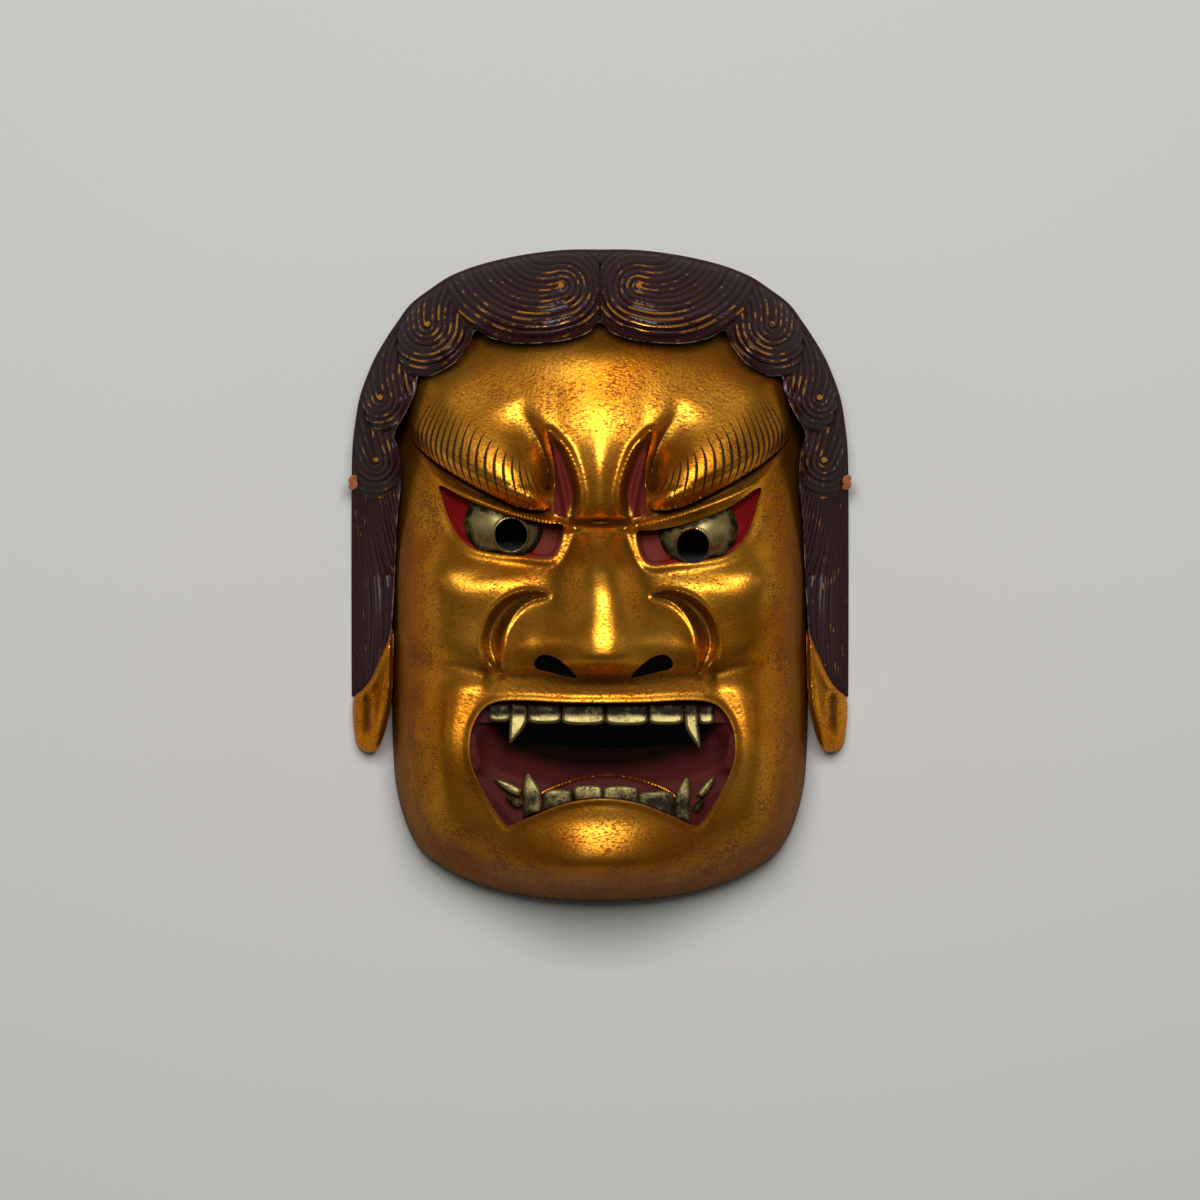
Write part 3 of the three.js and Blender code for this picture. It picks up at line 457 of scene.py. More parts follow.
def nose_height(u, v):
    """a bridge that rises and widens on its way down to the ball, with flanks and two wings"""
    u = u - NOSE_SHIFT * ease(-v, -5, 15)
    fall = 1 - ease(v, -8, 16)
    length = ease(v, -36, -26) * (1 - ease(v, 12, 16.5))
    high = 4.4 + 6.4 * fall - 2.2 * ease(-v, 2, 22)
    bridge = high * np.exp(-np.abs(u / (7.4 + 3.8 * fall)) ** 2.6) * length
    flanks = 5.5 * bell(u, 0, 16) * (1 - ease(v, 0, 16)) * ease(v, -36.5, -28)
    wings = (twin_swells(u, v, (17.5, -21, 12, 11, 6.6)) * ease(v, -34, -29.5)
             + twin_swells(u, v, (28, -24, 6, 8, 3.5)) * ease(v, -34, -30.5))
    return bridge + flanks + wings + swell(u, v, 0, -19, 12, 12, 0.8)


print("the nose's ball stands", round(float(nose_height(NOSE_SHIFT, -19.0)), 1), "mm proud")

# %% Mouth and chin
CHIN_TOP, CHIN_TALL = -73.5, 21
CHIN_HIGH, CHIN_TURN, CHIN_SOFT = 17, 1.05, 0.06


def mouth_height(u, m, v):
    """the crescents' rims, the lip round the mouth, and the folds and grooves beside it"""
    crescent = 1.0 * bell(depth_in(m, v, crescent_ring), 0, 0.9)
    fold, _, fold_place = follow(m, v, fold_line)
    groove, _, groove_place = follow(m, v, groove_line)
    lip = 1.1 * bell(np.minimum(depth_in(u, v, mouth_ring) + 0.5, 0), 0, 1.1)
    return (crescent + lip - 3.4 * bell(fold, 0, 4.5) * ease(fold_place, 0, 0.2)
            - 0.6 * bell(groove, 0, 3.6) * tapered(groove_place, 0.2, 0.7))


def chin_height(m, v):
    """the chin juts out more and more on its way down, and then turns under"""
    way = (CHIN_TOP - v) / CHIN_TALL
    way = CHIN_TURN - CHIN_SOFT * np.logaddexp(0, (CHIN_TURN - way) / CHIN_SOFT)
    return CHIN_HIGH * np.maximum(way, 0) ** 1.6 * np.exp(-((m / 34) ** 2.4))


print("the chin juts out", round(float(chin_height(0.0, -95.0)), 1), "mm at its lower end")

# %% Face height
MIDDLE_FORMS = {
    "face": (0, 0, 45, 50, 4), "frown": (0, 49, 30, 27, 9.5), "upper lip": (0, -30, 40, 21, 7),
    "mouth": (0, -62, 38, 22, 4), "chin": (0, -85, 36, 22, 6.5), "lower lip": (0, -75.5, 24, 5, 1.9),
    "forehead": (0, 78, 46, 14, 6),
}
TWIN_FORMS = {
    "temple": (55, 65, 15, 12, 3), "eye's hollow": (34, 14, 21, 10, -4.5, 15),
    "eye's corner": (57, 18, 9, 14, -1.5, 20), "cheekbone": (57, 1.5, 11.5, 10, 7),
    "cheek's band": (38, -3.5, 22, 10, 4.6, -9), "cheek": (54, -14, 14, 12, 3),
    "jaw": (51, -62, 10, 26, 6.5), "jaw's corner": (52, -84, 14, 10, 3),
}


def face_height(u, v, rho):
    m = np.hypot(u, 0.5)
    f = swells(u, v, *MIDDLE_FORMS.values())
    f += twin_swells(u, v, *TWIN_FORMS.values())
    f += (frown_height(u, m, v) + nose_height(u, v) + eye_height(u, m, v) + mouth_height(u, m, v)
          + chin_height(m, v))
    return FACE_DEPTH * dome(rho, *FACE_ROUND) + f * ease(1 - rho, 0, FADE)


print("nose tip", round(float(face_height(*np.array([[0.0], [-21.0], [0.2]]))[0]), 1), "mm high")

# %% [markdown]
# ## From a height to a block
# A square grid of points is drawn into the outline like a napkin into a ring, and each point is
# lifted to its height. One flat face closes the back. The rows crowd towards the rim, where the
# dome falls steeply.

# %% Points of a mesh
def new_piece(name, bm):
    mesh = bpy.data.meshes.new(name)
    bmesh.ops.recalc_face_normals(bm, faces=bm.faces)
    bm.to_mesh(mesh)
    bm.free()
    piece = bpy.data.objects.new(name, mesh)
    bpy.context.scene.collection.objects.link(piece)
    return piece


def points_of(mesh):
    """the mesh's points in millimetres"""
    flat = np.empty(len(mesh.vertices) * 3)
    mesh.vertices.foreach_get("co", flat)
    return flat.reshape(-1, 3) / MM


def move_points(mesh, points):
    mesh.vertices.foreach_set("co", (np.asarray(points) * MM).ravel())
    mesh.update()


print("the cord reaches", round(float(points_of(cord.data)[:, 0].max()), 1), "mm to the side")

# %% Domed block
RIM_CROWD = 1.7
FACE_CELLS = 470


def domed_block(name, cells, reach, scale, height, rim_level=0.0):
    """a closed block: its top has this outline and height, and its back is one flat face"""
    bm = bmesh.new()
    bmesh.ops.create_grid(bm, x_segments=cells, y_segments=cells, size=1)
    bmesh.ops.contextual_create(bm, geom=[e for e in bm.edges if e.is_boundary])
    piece = new_piece(name, bm)
    a, b, _ = (points_of(piece.data) * MM).T
    x, y = a * np.sqrt(1 - b * b / 2), b * np.sqrt(1 - a * a / 2)
    out = np.hypot(x, y)
    rho = 1 - np.maximum(1 - out, 0) ** RIM_CROWD
    angle = np.arctan2(y, x)
    far = rho * reach(angle) * scale
    u, v = far * np.cos(angle), far * np.sin(angle)
    z = np.where(out > 1 - 1e-6, rim_level, height(u, v, rho))
    move_points(piece.data, np.stack([u, v, z], 1))
    return piece


def outward(piece):
    """the piece with its faces turned to the outside"""
    bm = bmesh.new()
    bm.from_mesh(piece.data)
    if bm.calc_volume(signed=True) < 0:
        bmesh.ops.reverse_faces(bm, faces=bm.faces)
        bm.to_mesh(piece.data)
    bm.free()
    return piece


carved_face = outward(domed_block("carved_face", FACE_CELLS, face_reach, 1, face_height))
print("face block", len(carved_face.data.polygons), "faces")

# %% [markdown]
# ## The knotted brow
# The brow is a swelling that breaks off along its lower edge and overhangs the eye. A single
# height can't overhang, so the brow is a second block. It dips just under the face everywhere
# else, is cut to the brow's edge and is joined on.

# %% Cutting and joining
TOP, BELOW = 120, -1


def worked(piece, tool, how):
    """the piece after a tool has been cut from it, added to it or kept in common with it"""
    boolean = piece.modifiers.new("work", "BOOLEAN")
    boolean.operation = how
    boolean.solver = "MANIFOLD"
    boolean.object = tool
    done = as_mesh(piece)
    bpy.data.objects.remove(tool)
    return done


def stencil(name, outline, low, high):
    """a straight-sided block over an outline"""
    bm = bmesh.new()
    rim = [bm.verts.new((x * MM, y * MM, low * MM)) for x, y in outline]
    face = bm.faces.new(rim)
    grown = bmesh.ops.extrude_face_region(bm, geom=[face])["geom"]
    lifted = [g for g in grown if isinstance(g, bmesh.types.BMVert)]
    bmesh.ops.translate(bm, verts=lifted, vec=(0, 0, (high - low) * MM))
    return outward(new_piece(name, bm))


print("a cut reaches from", BELOW, "to", TOP, "mm")

# %% Brow
BROW_DIP = 0.35
BROW_BACK = [(69, 64), (60, 80), (0.5, 80), (0.5, 60), (11, 52)]
BROW_FLOOR = 30
BROW_CELLS = 300


def brow_height(u, v, rho):
    """the face with the brow's full height up to its edge, and a little lower than the face beyond it"""
    m = np.hypot(u, 0.5)
    above, side, _ = follow(m, v, brow_foot, margin=16)
    here = ease(above * side, 0, 6)
    rounded = 0.55 + 0.45 * (1 - np.exp(-above / 1.8))
    full = brow_swelling(m, v) * (rounded - here)
    return face_height(u, v, rho) + full * ease(1 - rho, 0, FADE) - BROW_DIP * ease(above, 4, 8)


brow_outline = np.vstack([brow_line, BROW_BACK])
for turned in (lambda line: line, mirrored):
    patch = outward(domed_block("brow", BROW_CELLS, face_reach, 1, brow_height))
    patch = worked(patch, stencil("brow_cut", turned(brow_outline), BROW_FLOOR, TOP), "INTERSECT")
    carved_face = worked(carved_face, patch, "UNION")
print("with the brows", len(carved_face.data.polygons), "faces")

# %% [markdown]
# ## The hollow
# The back of a mask is dug out, so that it is light and fits over a face. A gouge leaves a wall
# about as thick as a finger. The hollow is a second domed block, a little smaller than the first
# and deeper behind the nose, the frown and the chin, and it is cut away from below.

# %% Hollow
HOLLOW_DEPTH = 50
HOLLOW_ROUND = (5.0, 2.0)
HOLLOW_SCALE = 0.94
HOLLOW_CELLS = 160
HOLLOW_FORMS = {
    "nose": (0, -18, 11, 13, 13), "chin": (0, -86, 20, 9, 8), "frown": (0, 52, 26, 24, 6),
    "mouth": (1, -57, 40, 17, -12),
}


def hollow_height(u, v, rho):
    forms = swells(u, v, *HOLLOW_FORMS.values())
    return HOLLOW_DEPTH * dome(rho, *HOLLOW_ROUND) + forms * ease(1 - rho, 0, 0.2)


hollow = outward(domed_block("hollow", HOLLOW_CELLS, face_reach, HOLLOW_SCALE, hollow_height,
                             rim_level=2 * BELOW))
carved_face = worked(carved_face, hollow, "DIFFERENCE")
print("hollowed", len(carved_face.data.polygons), "faces")

# %% [markdown]
# ## The openings
# From the front come the frown slits, the crescents beside the nose, the eye sockets and the
# mouth. Each could be modelled as its own bowl. Here each is an outline pushed down to a floor,
# because a gouge leaves just such a crisp edge. The throat, the nostrils, the pupils and the cord's
# two holes then go right through.

# %% Outlines of the openings
PUPILS = {"left": (-29.3, 13.1), "right": (30.6, 9.6)}
EYEBALLS = {"left": (-31.7, 16.7), "right": (32.3, 15.0)}
NOSTRIL = [
    (22.8, -29.2), (21.6, -27.1), (19.2, -26.2), (15.5, -27.4), (12, -30.2), (8.9, -33.8),
    (13, -33.3), (18, -32), (21.8, -31),
]
THROAT = (1, -52.6, 30.5, 5.4)


def oval(x, y, rx, ry, turn=0, steps=48):
    a = np.linspace(0, math.tau, steps, endpoint=False)
    c, s = math.cos(math.radians(turn)), math.sin(math.radians(turn))
    px, py = rx * np.cos(a), ry * np.sin(a)
    return np.stack([x + px * c - py * s, y + px * s + py * c], 1)


def lowered(line):
    return np.stack([line[:, 0], line[:, 1] - EYE_DROP * (1 - ease(line[:, 1], 22, 34))], 1)


sockets = {"left": mirrored(eye_ring), "right": lowered(eye_ring)}
print("the throat is", 2 * THROAT[2], "mm wide, and the sockets have", len(eye_ring), "points")

# %% Floors of slits, crescents and sockets
SLIT_FLOOR, SOCKET_FLOOR = 61, 55
SLIT_SPINE = [(16, 46), (14.2, 38), (12.4, 30), (11.2, 24), (10.6, 18)]
slit_nose_side = smooth_line(SLIT_NOSE_SIDE)


def front_at(u, v):
    return face_height(u, v, rho_of(u, v, face_reach))


def slit_floor(u, v):
    """a ridge runs down the slit's middle, and a slope climbs to the face beside the nose"""
    spine, _, _ = follow(np.abs(u), v, smooth_line(SLIT_SPINE))
    nose_side, _, _ = follow(np.abs(u), v, slit_nose_side)
    floor = SLIT_FLOOR + 3.2 * bell(spine, 0, 1.5)
    return floor + np.maximum(front_at(u, v) - floor - 0.6, 0) * (1 - ease(nose_side, 0, 4.2))


def crescent_floor(u, v):
    depth = depth_in(np.abs(u), v, crescent_ring)
    return front_at(u, v) - 1.0 - 3.4 * ease(depth, 0, 3.2)


def socket_floor(u, v):
    """a flat bed for the metal eye, with a narrow step round it"""
    depth = np.maximum(depth_in(u, v, sockets["left"]), depth_in(u, v, sockets["right"]))
    return np.minimum(SOCKET_FLOOR, front_at(u, v) - 4.5) + 1.3 * (1 - ease(depth, 1.0, 1.5))


slit_depth = front_at(np.array([11.0]), np.array([30.0])) - SLIT_FLOOR
print("the slits are", round(float(slit_depth[0]), 1), "mm deep")

# %% Floor of the mouth
MOUTH_LEDGE = 57
GUM_ARC = [
    (-24, -79), (-20.5, -73.4), (-17.5, -71.2), (-8, -67.4), (2.6, -66), (12, -67.2),
    (21, -70.6), (25, -73.6), (28.5, -79),
]
FUNNEL_DEEP = 13
gum_line = smooth_line(GUM_ARC)
throat_ring = oval(*THROAT)


def mouth_floor(u, v):
    """a bowl that deepens towards the throat, with a flat ledge under each row of teeth"""
    depth = depth_in(u, v, mouth_ring, margin=22)
    cheek = ease(np.abs(u - 1), 26, 38) * ease(-v, 49, 54) * (1 - ease(-v, 61, 67))
    wall = 5 * (1 - ease(depth, 0, 6)) * cheek
    gum, side, _ = follow(u, v, gum_line, margin=20)
    away = np.maximum(-depth_in(u, v, throat_ring, margin=24), 0)
    bowl = FUNNEL_DEEP * (1 - ease(away, 0, 13)) * ease(gum * side, -0.2, 0.6) * ease(-v, 48.8, 49.6)
    return np.minimum(MOUTH_LEDGE + wall - bowl + 0.8 * bell(gum, 0, 0.7), front_at(u, v) - 2.5)


print("beside the throat the mouth is", MOUTH_LEDGE - FUNNEL_DEEP, "mm above the back rim")

# %% Moulded pieces
MOULD_STEP = 0.35


def moulded(name, outline, height, base, step=MOULD_STEP, thick=None):
    """a piece with this outline and straight sides: its height runs up or down from a flat base"""
    outline = np.asarray(outline)
    start, stop = outline.min(0) - 1, outline.max(0) + 1
    nx, ny = (max(int((b - a) / step), 4) for a, b in zip(start, stop))
    bm = bmesh.new()
    bmesh.ops.create_grid(bm, x_segments=nx, y_segments=ny, size=1)
    if thick is None:
        bmesh.ops.contextual_create(bm, geom=[e for e in bm.edges if e.is_boundary])
    sheet = new_piece(name, bm)
    a, b, _ = (points_of(sheet.data) * MM).T
    u = start[0] + (a + 1) / 2 * (stop[0] - start[0])
    v = start[1] + (b + 1) / 2 * (stop[1] - start[1])
    z = height(u, v)
    if thick is None:
        z = np.where((np.abs(a) > 0.9999) | (np.abs(b) > 0.9999), base, z)
    move_points(sheet.data, np.stack([u, v, z], 1))
    if thick is not None:
        wall = sheet.modifiers.new("wall", "SOLIDIFY")
        wall.thickness = thick * MM
        wall.offset = -1
        sheet = as_mesh(sheet)
    low, high = (base, TOP) if base < TOP else (BELOW, base)
    return worked(outward(sheet), stencil(name + "_cut", outline, low, high), "INTERSECT")


print("a moulded piece has a point about every", MOULD_STEP, "mm")

# %% Pits
PIT_STEP = 0.4
pits = [(mouth_ring, mouth_floor)]
for turned in (lambda line: line, mirrored):
    pits += [(turned(slit_ring), slit_floor), (turned(crescent_ring), crescent_floor)]
for side in ("left", "right"):
    pits += [(sockets[side], socket_floor)]
for outline, floor in pits:
    pit = moulded("pit", outline, floor, TOP, step=PIT_STEP)
    carved_face = worked(carved_face, pit, "DIFFERENCE")
print("with", len(pits), "pits", len(carved_face.data.polygons), "faces")

# %% Bores
THROUGH = 20
BORE_RADIUS = 6
CORD_HOLE = (74, 31, 12)
CORD_HOLE_WIDE, CORD_HOLE_LONG = 4.4, 40
nostril = smooth_line(NOSTRIL, closed=True)
bores = [throat_ring, nostril + (NOSE_SHIFT, 0), mirrored(nostril) + (NOSE_SHIFT, 0)]
bores += [oval(*PUPILS[side], BORE_RADIUS, BORE_RADIUS) for side in ("left", "right")]
for outline in bores:
    carved_face = worked(carved_face, stencil("bore", outline, THROUGH, TOP), "DIFFERENCE")


def cord_drill(way):
    """a drill that lies across the mask, for one of the cord's holes"""
    from_x = CORD_HOLE[0] * way
    bm = bmesh.new()
    bmesh.ops.create_cone(bm, cap_ends=True, segments=32, radius1=CORD_HOLE_WIDE / 2 * MM,
                          radius2=CORD_HOLE_WIDE / 2 * MM, depth=CORD_HOLE_LONG * MM)
    bmesh.ops.rotate(bm, verts=bm.verts, matrix=Matrix.Rotation(math.radians(90), 3, "Y"))
    bmesh.ops.translate(bm, verts=bm.verts, vec=(from_x * MM, CORD_HOLE[1] * MM, CORD_HOLE[2] * MM))
    return outward(new_piece("drill", bm))


for way in (1, -1):
    carved_face = worked(carved_face, cord_drill(way), "DIFFERENCE")
print("carved", len(carved_face.data.polygons), "faces")

# %% [markdown]
# ## The hair
# The hair is the same block of wood, lacquered dark: four locks on each side, lying over one
# another, each wound round its own curl. Every strand could be a curve, but a carver only cuts the
# grooves between them. So a lock is an outline that swells, and its strands are a wave that runs
# beside the lock's spine and winds round the spine's end.

# %% Locks
HAIR_ROUND = (6.0, 1.4)
HAIR_LEVELS = [(-90, 30), (0, 30), (10, 36), (25, 48), (40, 64), (55, 74), (90, 76)]
LOCKS = [
    {"high": 3.6, "spine": [(74.5, 38.2), (76.6, 45), (78.8, 54), (80.5, 64)], "edge": [
        (66.2, 46), (65.8, 38), (66.6, 31), (71, 26.3), (76.5, 25.5), (81.5, 29), (88, 38), (90, 52),
        (88, 68), (82, 71), (79, 65), (79.2, 58), (77.5, 52.5), (73, 48.5)]},
    {"high": 4.6, "spine": [(72.9, 58.9), (74.6, 67), (73.6, 76), (69.5, 85), (64, 93)], "edge": [
        (60.6, 67), (61.3, 60), (63.3, 54), (66, 49.5), (70, 47.6), (74.5, 48.2), (78.2, 52),
        (79.6, 58), (80.5, 66), (82, 74), (80, 84), (74, 95), (66, 99), (64, 91), (66.5, 83),
        (67.3, 76), (65.4, 69)]},
    {"high": 6.0, "spine": [(57.1, 83), (57, 90), (55.4, 97), (53.5, 106)], "edge": [
        (42.4, 78.4), (47.5, 70.6), (54.5, 66.2), (60.7, 65.3), (65.6, 68.5), (67.9, 76), (67.2, 83.5),
        (64.5, 90), (62, 98), (59, 110), (52.5, 112), (51.6, 100), (50.6, 94), (48.4, 88.5), (45.4, 84)]},
    {"high": 7.0, "spine": [(12.8, 95.6), (18.5, 94.9), (25, 96), (30.5, 99.6), (34, 105), (36, 114)],
     "edge": [
        (0.3, 83.8), (4.4, 79.8), (12, 77.1), (20.5, 76.4), (29, 76.5), (36.5, 78.3), (42, 81.2),
        (46.6, 86.2), (49.6, 91.5), (51, 97), (52.2, 112), (38, 118), (20, 122), (0.3, 122), (0.3, 98)]},
]
print("locks on each side:", len(LOCKS))

# %% Relief of the locks
STRAND_WIDE, STRAND_FAN, STRAND_SPREAD = 1.85, 0.45, 0.012
LOCK_STEPS = 8
LOCK_ROUND = 9
NO_CURL = 99.0


def hair_level(u, v):
    angle = np.degrees(np.arctan2(v, np.abs(u)))
    return np.interp(angle, *np.array(HAIR_LEVELS, float).T)


def sweep_count(m, v, lock):
    """the strands' count: they run beside the lock's spine and wind into a spiral round its end"""
    (cu, cv), spine = lock["spine"][0], smooth_line(lock["spine"], LOCK_STEPS)
    away, _, place = follow(m, v, spine, margin=70)
    spacing = STRAND_WIDE + STRAND_FAN * place + STRAND_SPREAD * away
    return away / spacing - np.arctan2(v - cv, m - cu) / math.tau


def lock_relief(m, v):
    """how far the locks stand out, the strands' count across them and the distance to a curl's eye"""
    relief, count, curl = np.zeros(m.shape), np.full(m.shape, np.nan), np.full(m.shape, NO_CURL)
    for lock in LOCKS:
        depth = depth_in(m, v, smooth_line(lock["edge"], LOCK_STEPS, closed=True), margin=20)
        eye = np.hypot(m - lock["spine"][0][0], v - lock["spine"][0][1])
        body = lock["high"] * (1 - (1 - np.clip(depth / LOCK_ROUND, 0, 1)) ** 3)
        body += 1.6 * bell(eye, 0, 5.5) + 0.8 * bell(eye, 0, 1.5)
        relief = np.where(depth > 0, body, relief)
        count = np.where(depth > 0, sweep_count(m, v, lock), count)
        curl = np.where(depth > 0, eye, curl)
    return relief, count, curl


def strand_wave(count):
    """1 on the back of a strand and 0 in the groove beside it"""
    return np.abs(np.sin(math.pi * count)) ** 0.7


curl_eye = lock_relief(*np.array(LOCKS[-1]["spine"][:1], float).T)
print("the top curl stands", round(float(curl_eye[0][0]), 1), "mm above the hair")

# %% [markdown]
# ## A strip that follows the surface
# A height over a flat grid has too few points on the mask's steep side wall, where the hair goes on.
# So each row of the strip runs from the hairline to the rim, and its points are spaced by the length
# of the way along the surface. The strands are then cut in along the surface's own normal, as a
# gouge is held square to the wood.

# %% Rows of the strip
HAIR_ALONG, HAIR_ACROSS = 420, 220
HAIR_LOW, SIDE_TOP, CROWN = -26, 17, 89.99
SIDE_ROWS = 70
EAR_FOOT = [(72.1, -26.7), (75.1, -34.1), (78.6, -38.9)]
FINE_POINTS, FINE_CROWD = 600, 2.2
EVEN, CROWDED = 0.72, 0.28


def row_turns():
    """each row's direction from the middle: those of the crown lie closer than those of the side"""
    side = np.linspace(HAIR_LOW, SIDE_TOP, SIDE_ROWS, endpoint=False)
    crown = np.linspace(SIDE_TOP, CROWN, HAIR_ALONG + 1 - SIDE_ROWS)
    return np.radians(np.concatenate([side, crown]))


def hairline_reach(theta):
    line = np.vstack([hair_line, EAR_FOOT])
    angle = np.arctan2(line[:, 1], line[:, 0])
    order = np.argsort(angle)
    return np.interp(theta, angle[order], np.hypot(*line[order].T))


def hair_base(r, theta):
    """the hair's height without its locks"""
    u, v = r * np.cos(theta)[:, None], r * np.sin(theta)[:, None]
    return hair_level(u, v) * dome(r / whole_reach(theta)[:, None], *HAIR_ROUND)


def spaced_rows(theta):
    """how far out each point lies, the length of each row, and the points' share of it"""
    foot, rim = hairline_reach(theta), whole_reach(theta)
    fine = 1 - np.linspace(1, 0, FINE_POINTS) ** FINE_CROWD
    r = foot[:, None] + (rim - foot)[:, None] * fine[None]
    run = np.hypot(np.diff(r, axis=1), np.diff(hair_base(r, theta), axis=1)).cumsum(1)
    run = np.hstack([np.zeros((len(theta), 1)), run])
    share = np.linspace(0, 1, HAIR_ACROSS + 1)
    share = EVEN * share + CROWDED * share**2
    return np.array([np.interp(share * w[-1], w, q) for w, q in zip(run, r)]), run[:, -1:], share


print("the longest row is", round(float(spaced_rows(row_turns())[1].max())), "mm long")

# %% Strands
STRAND_DEEP = 0.95
BAND_WIDE = 2.1
CURL_EYE = (0.9, 1.5)


def strand_cut(theta, along, from_rim, count, curl):
    """the strands' wave, 0 to 1, and the depth of their grooves: on the side wall they are bands"""
    bands = from_rim / BAND_WIDE + 0.5 * np.sin(theta * 9)[:, None]
    count = np.where(np.isnan(count), bands, count)
    wall = ease(from_rim, 8, 16)
    wave = strand_wave(count) * wall + strand_wave(bands) * (1 - wall)
    wave = np.maximum(wave, 1 - ease(curl, *CURL_EYE))
    uneven = 0.72 + 0.28 * np.sin(count * 2.1)
    shallow_start = 0.2 + 0.8 * ease(along, 1.2, 3.4)
    return wave, STRAND_DEEP * uneven * (1 - wave) * ease(from_rim, 0, 2) * shallow_start


def gold_rub(v, along, from_rim, in_lock, curl):
    """where gold powder was rubbed on: the lowest strands, the curls and, most of all, their eyes"""
    lower = ease(along, 3.2, 6) * (1 - ease(along, 13, 22)) * in_lock
    rub = np.maximum(0.85 * lower, 0.7 * (1 - ease(curl, 6.5, 9.5))) * ease(from_rim, 8, 16)
    return np.maximum(rub * (0.35 + 0.65 * ease(np.abs(v), 45, 75)), 1.5 * (1 - ease(curl, 0.6, 1.5)))


print("the grooves are up to", STRAND_DEEP, "mm deep")

# %% Top of the strip
def surface_normals(spots):
    ahead, beside = np.gradient(spots, axis=0), np.gradient(spots, axis=1)
    normal = np.cross(beside, ahead)
    normal /= np.linalg.norm(normal, axis=2, keepdims=True)
    return normal * np.sign(normal[..., 2:].mean())


def hair_top(way):
    """the points of the strip, row by row, and what its material wants to know about them"""
    theta = row_turns()
    r, length, share = spaced_rows(theta)
    along = length * share[None]
    from_rim = length - along
    u, v = r * np.cos(theta)[:, None], r * np.sin(theta)[:, None]
    relief, count, curl = lock_relief(u, v)
    z = hair_base(r, theta) + relief * ease(1 - r / whole_reach(theta)[:, None], 0, 0.03)
    wave, groove = strand_cut(theta, along, from_rim, count, curl)
    spots = np.stack([u, v, z], 2)
    normal = surface_normals(spots)
    spots = spots - normal * groove[..., None]
    spots[..., 2] = np.maximum(spots[..., 2], 0.03)
    spots[..., 0] = np.maximum(spots[..., 0], 0.01) * way
    rub = gold_rub(v, along, from_rim, ~np.isnan(count), curl)
    # The hem note marks the hair's lower edge, where a pale painted highlight runs.
    return spots, {"strand": wave, "rub": rub, "hem_highlight": 1 - ease(along, 0.15, 0.5),
                   "steep": 1 - ease(normal[..., 2], 0.35, 0.8)}


hair_tops = {side: hair_top(way) for side, way in (("left", -1), ("right", 1))}
print("each strip has", hair_tops["left"][0].shape[:2], "points on top")

# %% [markdown]
# ## The strip's underside
# The hair and the face are one block on the real mask, so no gap may show between them, and nothing
# may poke into the hollow. The strip's underside therefore halves the wooden wall: it lies half way
# between the face and the hollow. Only its outer edge hangs free, past the face.

# %% Underside of the strip
UP = np.array([0, 0, 1.0])
BURIED_FROM, BURIED_TO = 0.975, 0.985
BURIED_SHARES = (0.15, 0.4, 0.7, 1)
LOWEST = 0.05
UNDER_OUT, UNDER_DOWN, UNDER_LOWEST = 1.1, 3.6, 0.1
LIP_OUT, LIP_DOWN, LIP_LOWEST = 0.2, 1.3, 0.2


def underside(top):
    """columns of points from the block's rim, through its wall, to the free edge of the hair"""
    edge = top[:, :1]
    out = edge * (1, 1, 0)
    out /= np.linalg.norm(out, axis=2, keepdims=True)
    far = np.hypot(edge[..., 0], edge[..., 1])[..., None]
    wood = face_reach(np.arctan2(edge[..., 1], np.abs(edge[..., 0])))[..., None]
    lift = edge[..., 2:]
    columns = [out * wood * BURIED_FROM + UP * LOWEST]
    for share in BURIED_SHARES:
        start = wood * BURIED_FROM
        spot = out * (start + (np.minimum(far, wood * BURIED_TO) - start) * share)
        u, v = spot[..., 0], spot[..., 1]
        rho = rho_of(u, v, face_reach)
        wall = face_height(u, v, rho) + hollow_height(u, v, np.minimum(rho / HOLLOW_SCALE, 1))
        columns.append(spot + UP * np.maximum(wall / 2, LOWEST)[..., None])
    columns.append(out * (far + UNDER_OUT) + UP * np.maximum(lift - UNDER_DOWN, UNDER_LOWEST))
    columns.append(out * (far + LIP_OUT) + UP * np.maximum(lift - LIP_DOWN, LIP_LOWEST))
    return columns


print("the hair's edge overhangs by", UNDER_OUT, "mm")

# %% Hair strips
def closed_grid(name, rows, columns):
    """a grid bent round later: both end rows get a cap of their own, and one face joins its sides"""
    bm = bmesh.new()
    bmesh.ops.create_grid(bm, x_segments=rows - 1, y_segments=columns - 1, size=1)
    for end in (-1, 1):
        row = [e for e in bm.edges if all(abs(corner.co.x - end) < 1e-6 for corner in e.verts)]
        bmesh.ops.contextual_create(bm, geom=row)
    bmesh.ops.contextual_create(bm, geom=[e for e in bm.edges if e.is_boundary])
    return new_piece(name, bm)


def flat_faced(piece):
    """the large bent faces cut into triangles, which stay flat"""
    bm = bmesh.new()
    bm.from_mesh(piece.data)
    bmesh.ops.triangulate(bm, faces=[f for f in bm.faces if len(f.verts) > 4])
    bmesh.ops.recalc_face_normals(bm, faces=bm.faces)
    bm.to_mesh(piece.data)
    bm.free()


def note(piece, name, values):
    """write one number per point into the mesh, for its material"""
    layer = piece.data.attributes.new(name, "FLOAT", "POINT")
    layer.data.foreach_set("value", np.asarray(values, np.float32))


def strip_piece(name, top, notes):
    spots = np.concatenate([*underside(top), top], 1)
    rows, columns = spots.shape[:2]
    piece = closed_grid(name, rows, columns)
    grid = points_of(piece.data) * MM
    i = np.rint((grid[:, 0] + 1) / 2 * (rows - 1)).astype(int)
    j = np.rint((grid[:, 1] + 1) / 2 * (columns - 1)).astype(int)
    move_points(piece.data, spots[i, j])
    flat_faced(piece)
    for note_name, values in notes.items():
        note(piece, note_name, np.pad(values, ((0, 0), (columns - values.shape[1], 0)))[i, j])
    return outward(piece)


hair = {side: strip_piece(f"hair_{side}", *hair_tops[side]) for side in ("left", "right")}
print("hair", [len(h.data.polygons) for h in hair.values()], "faces")

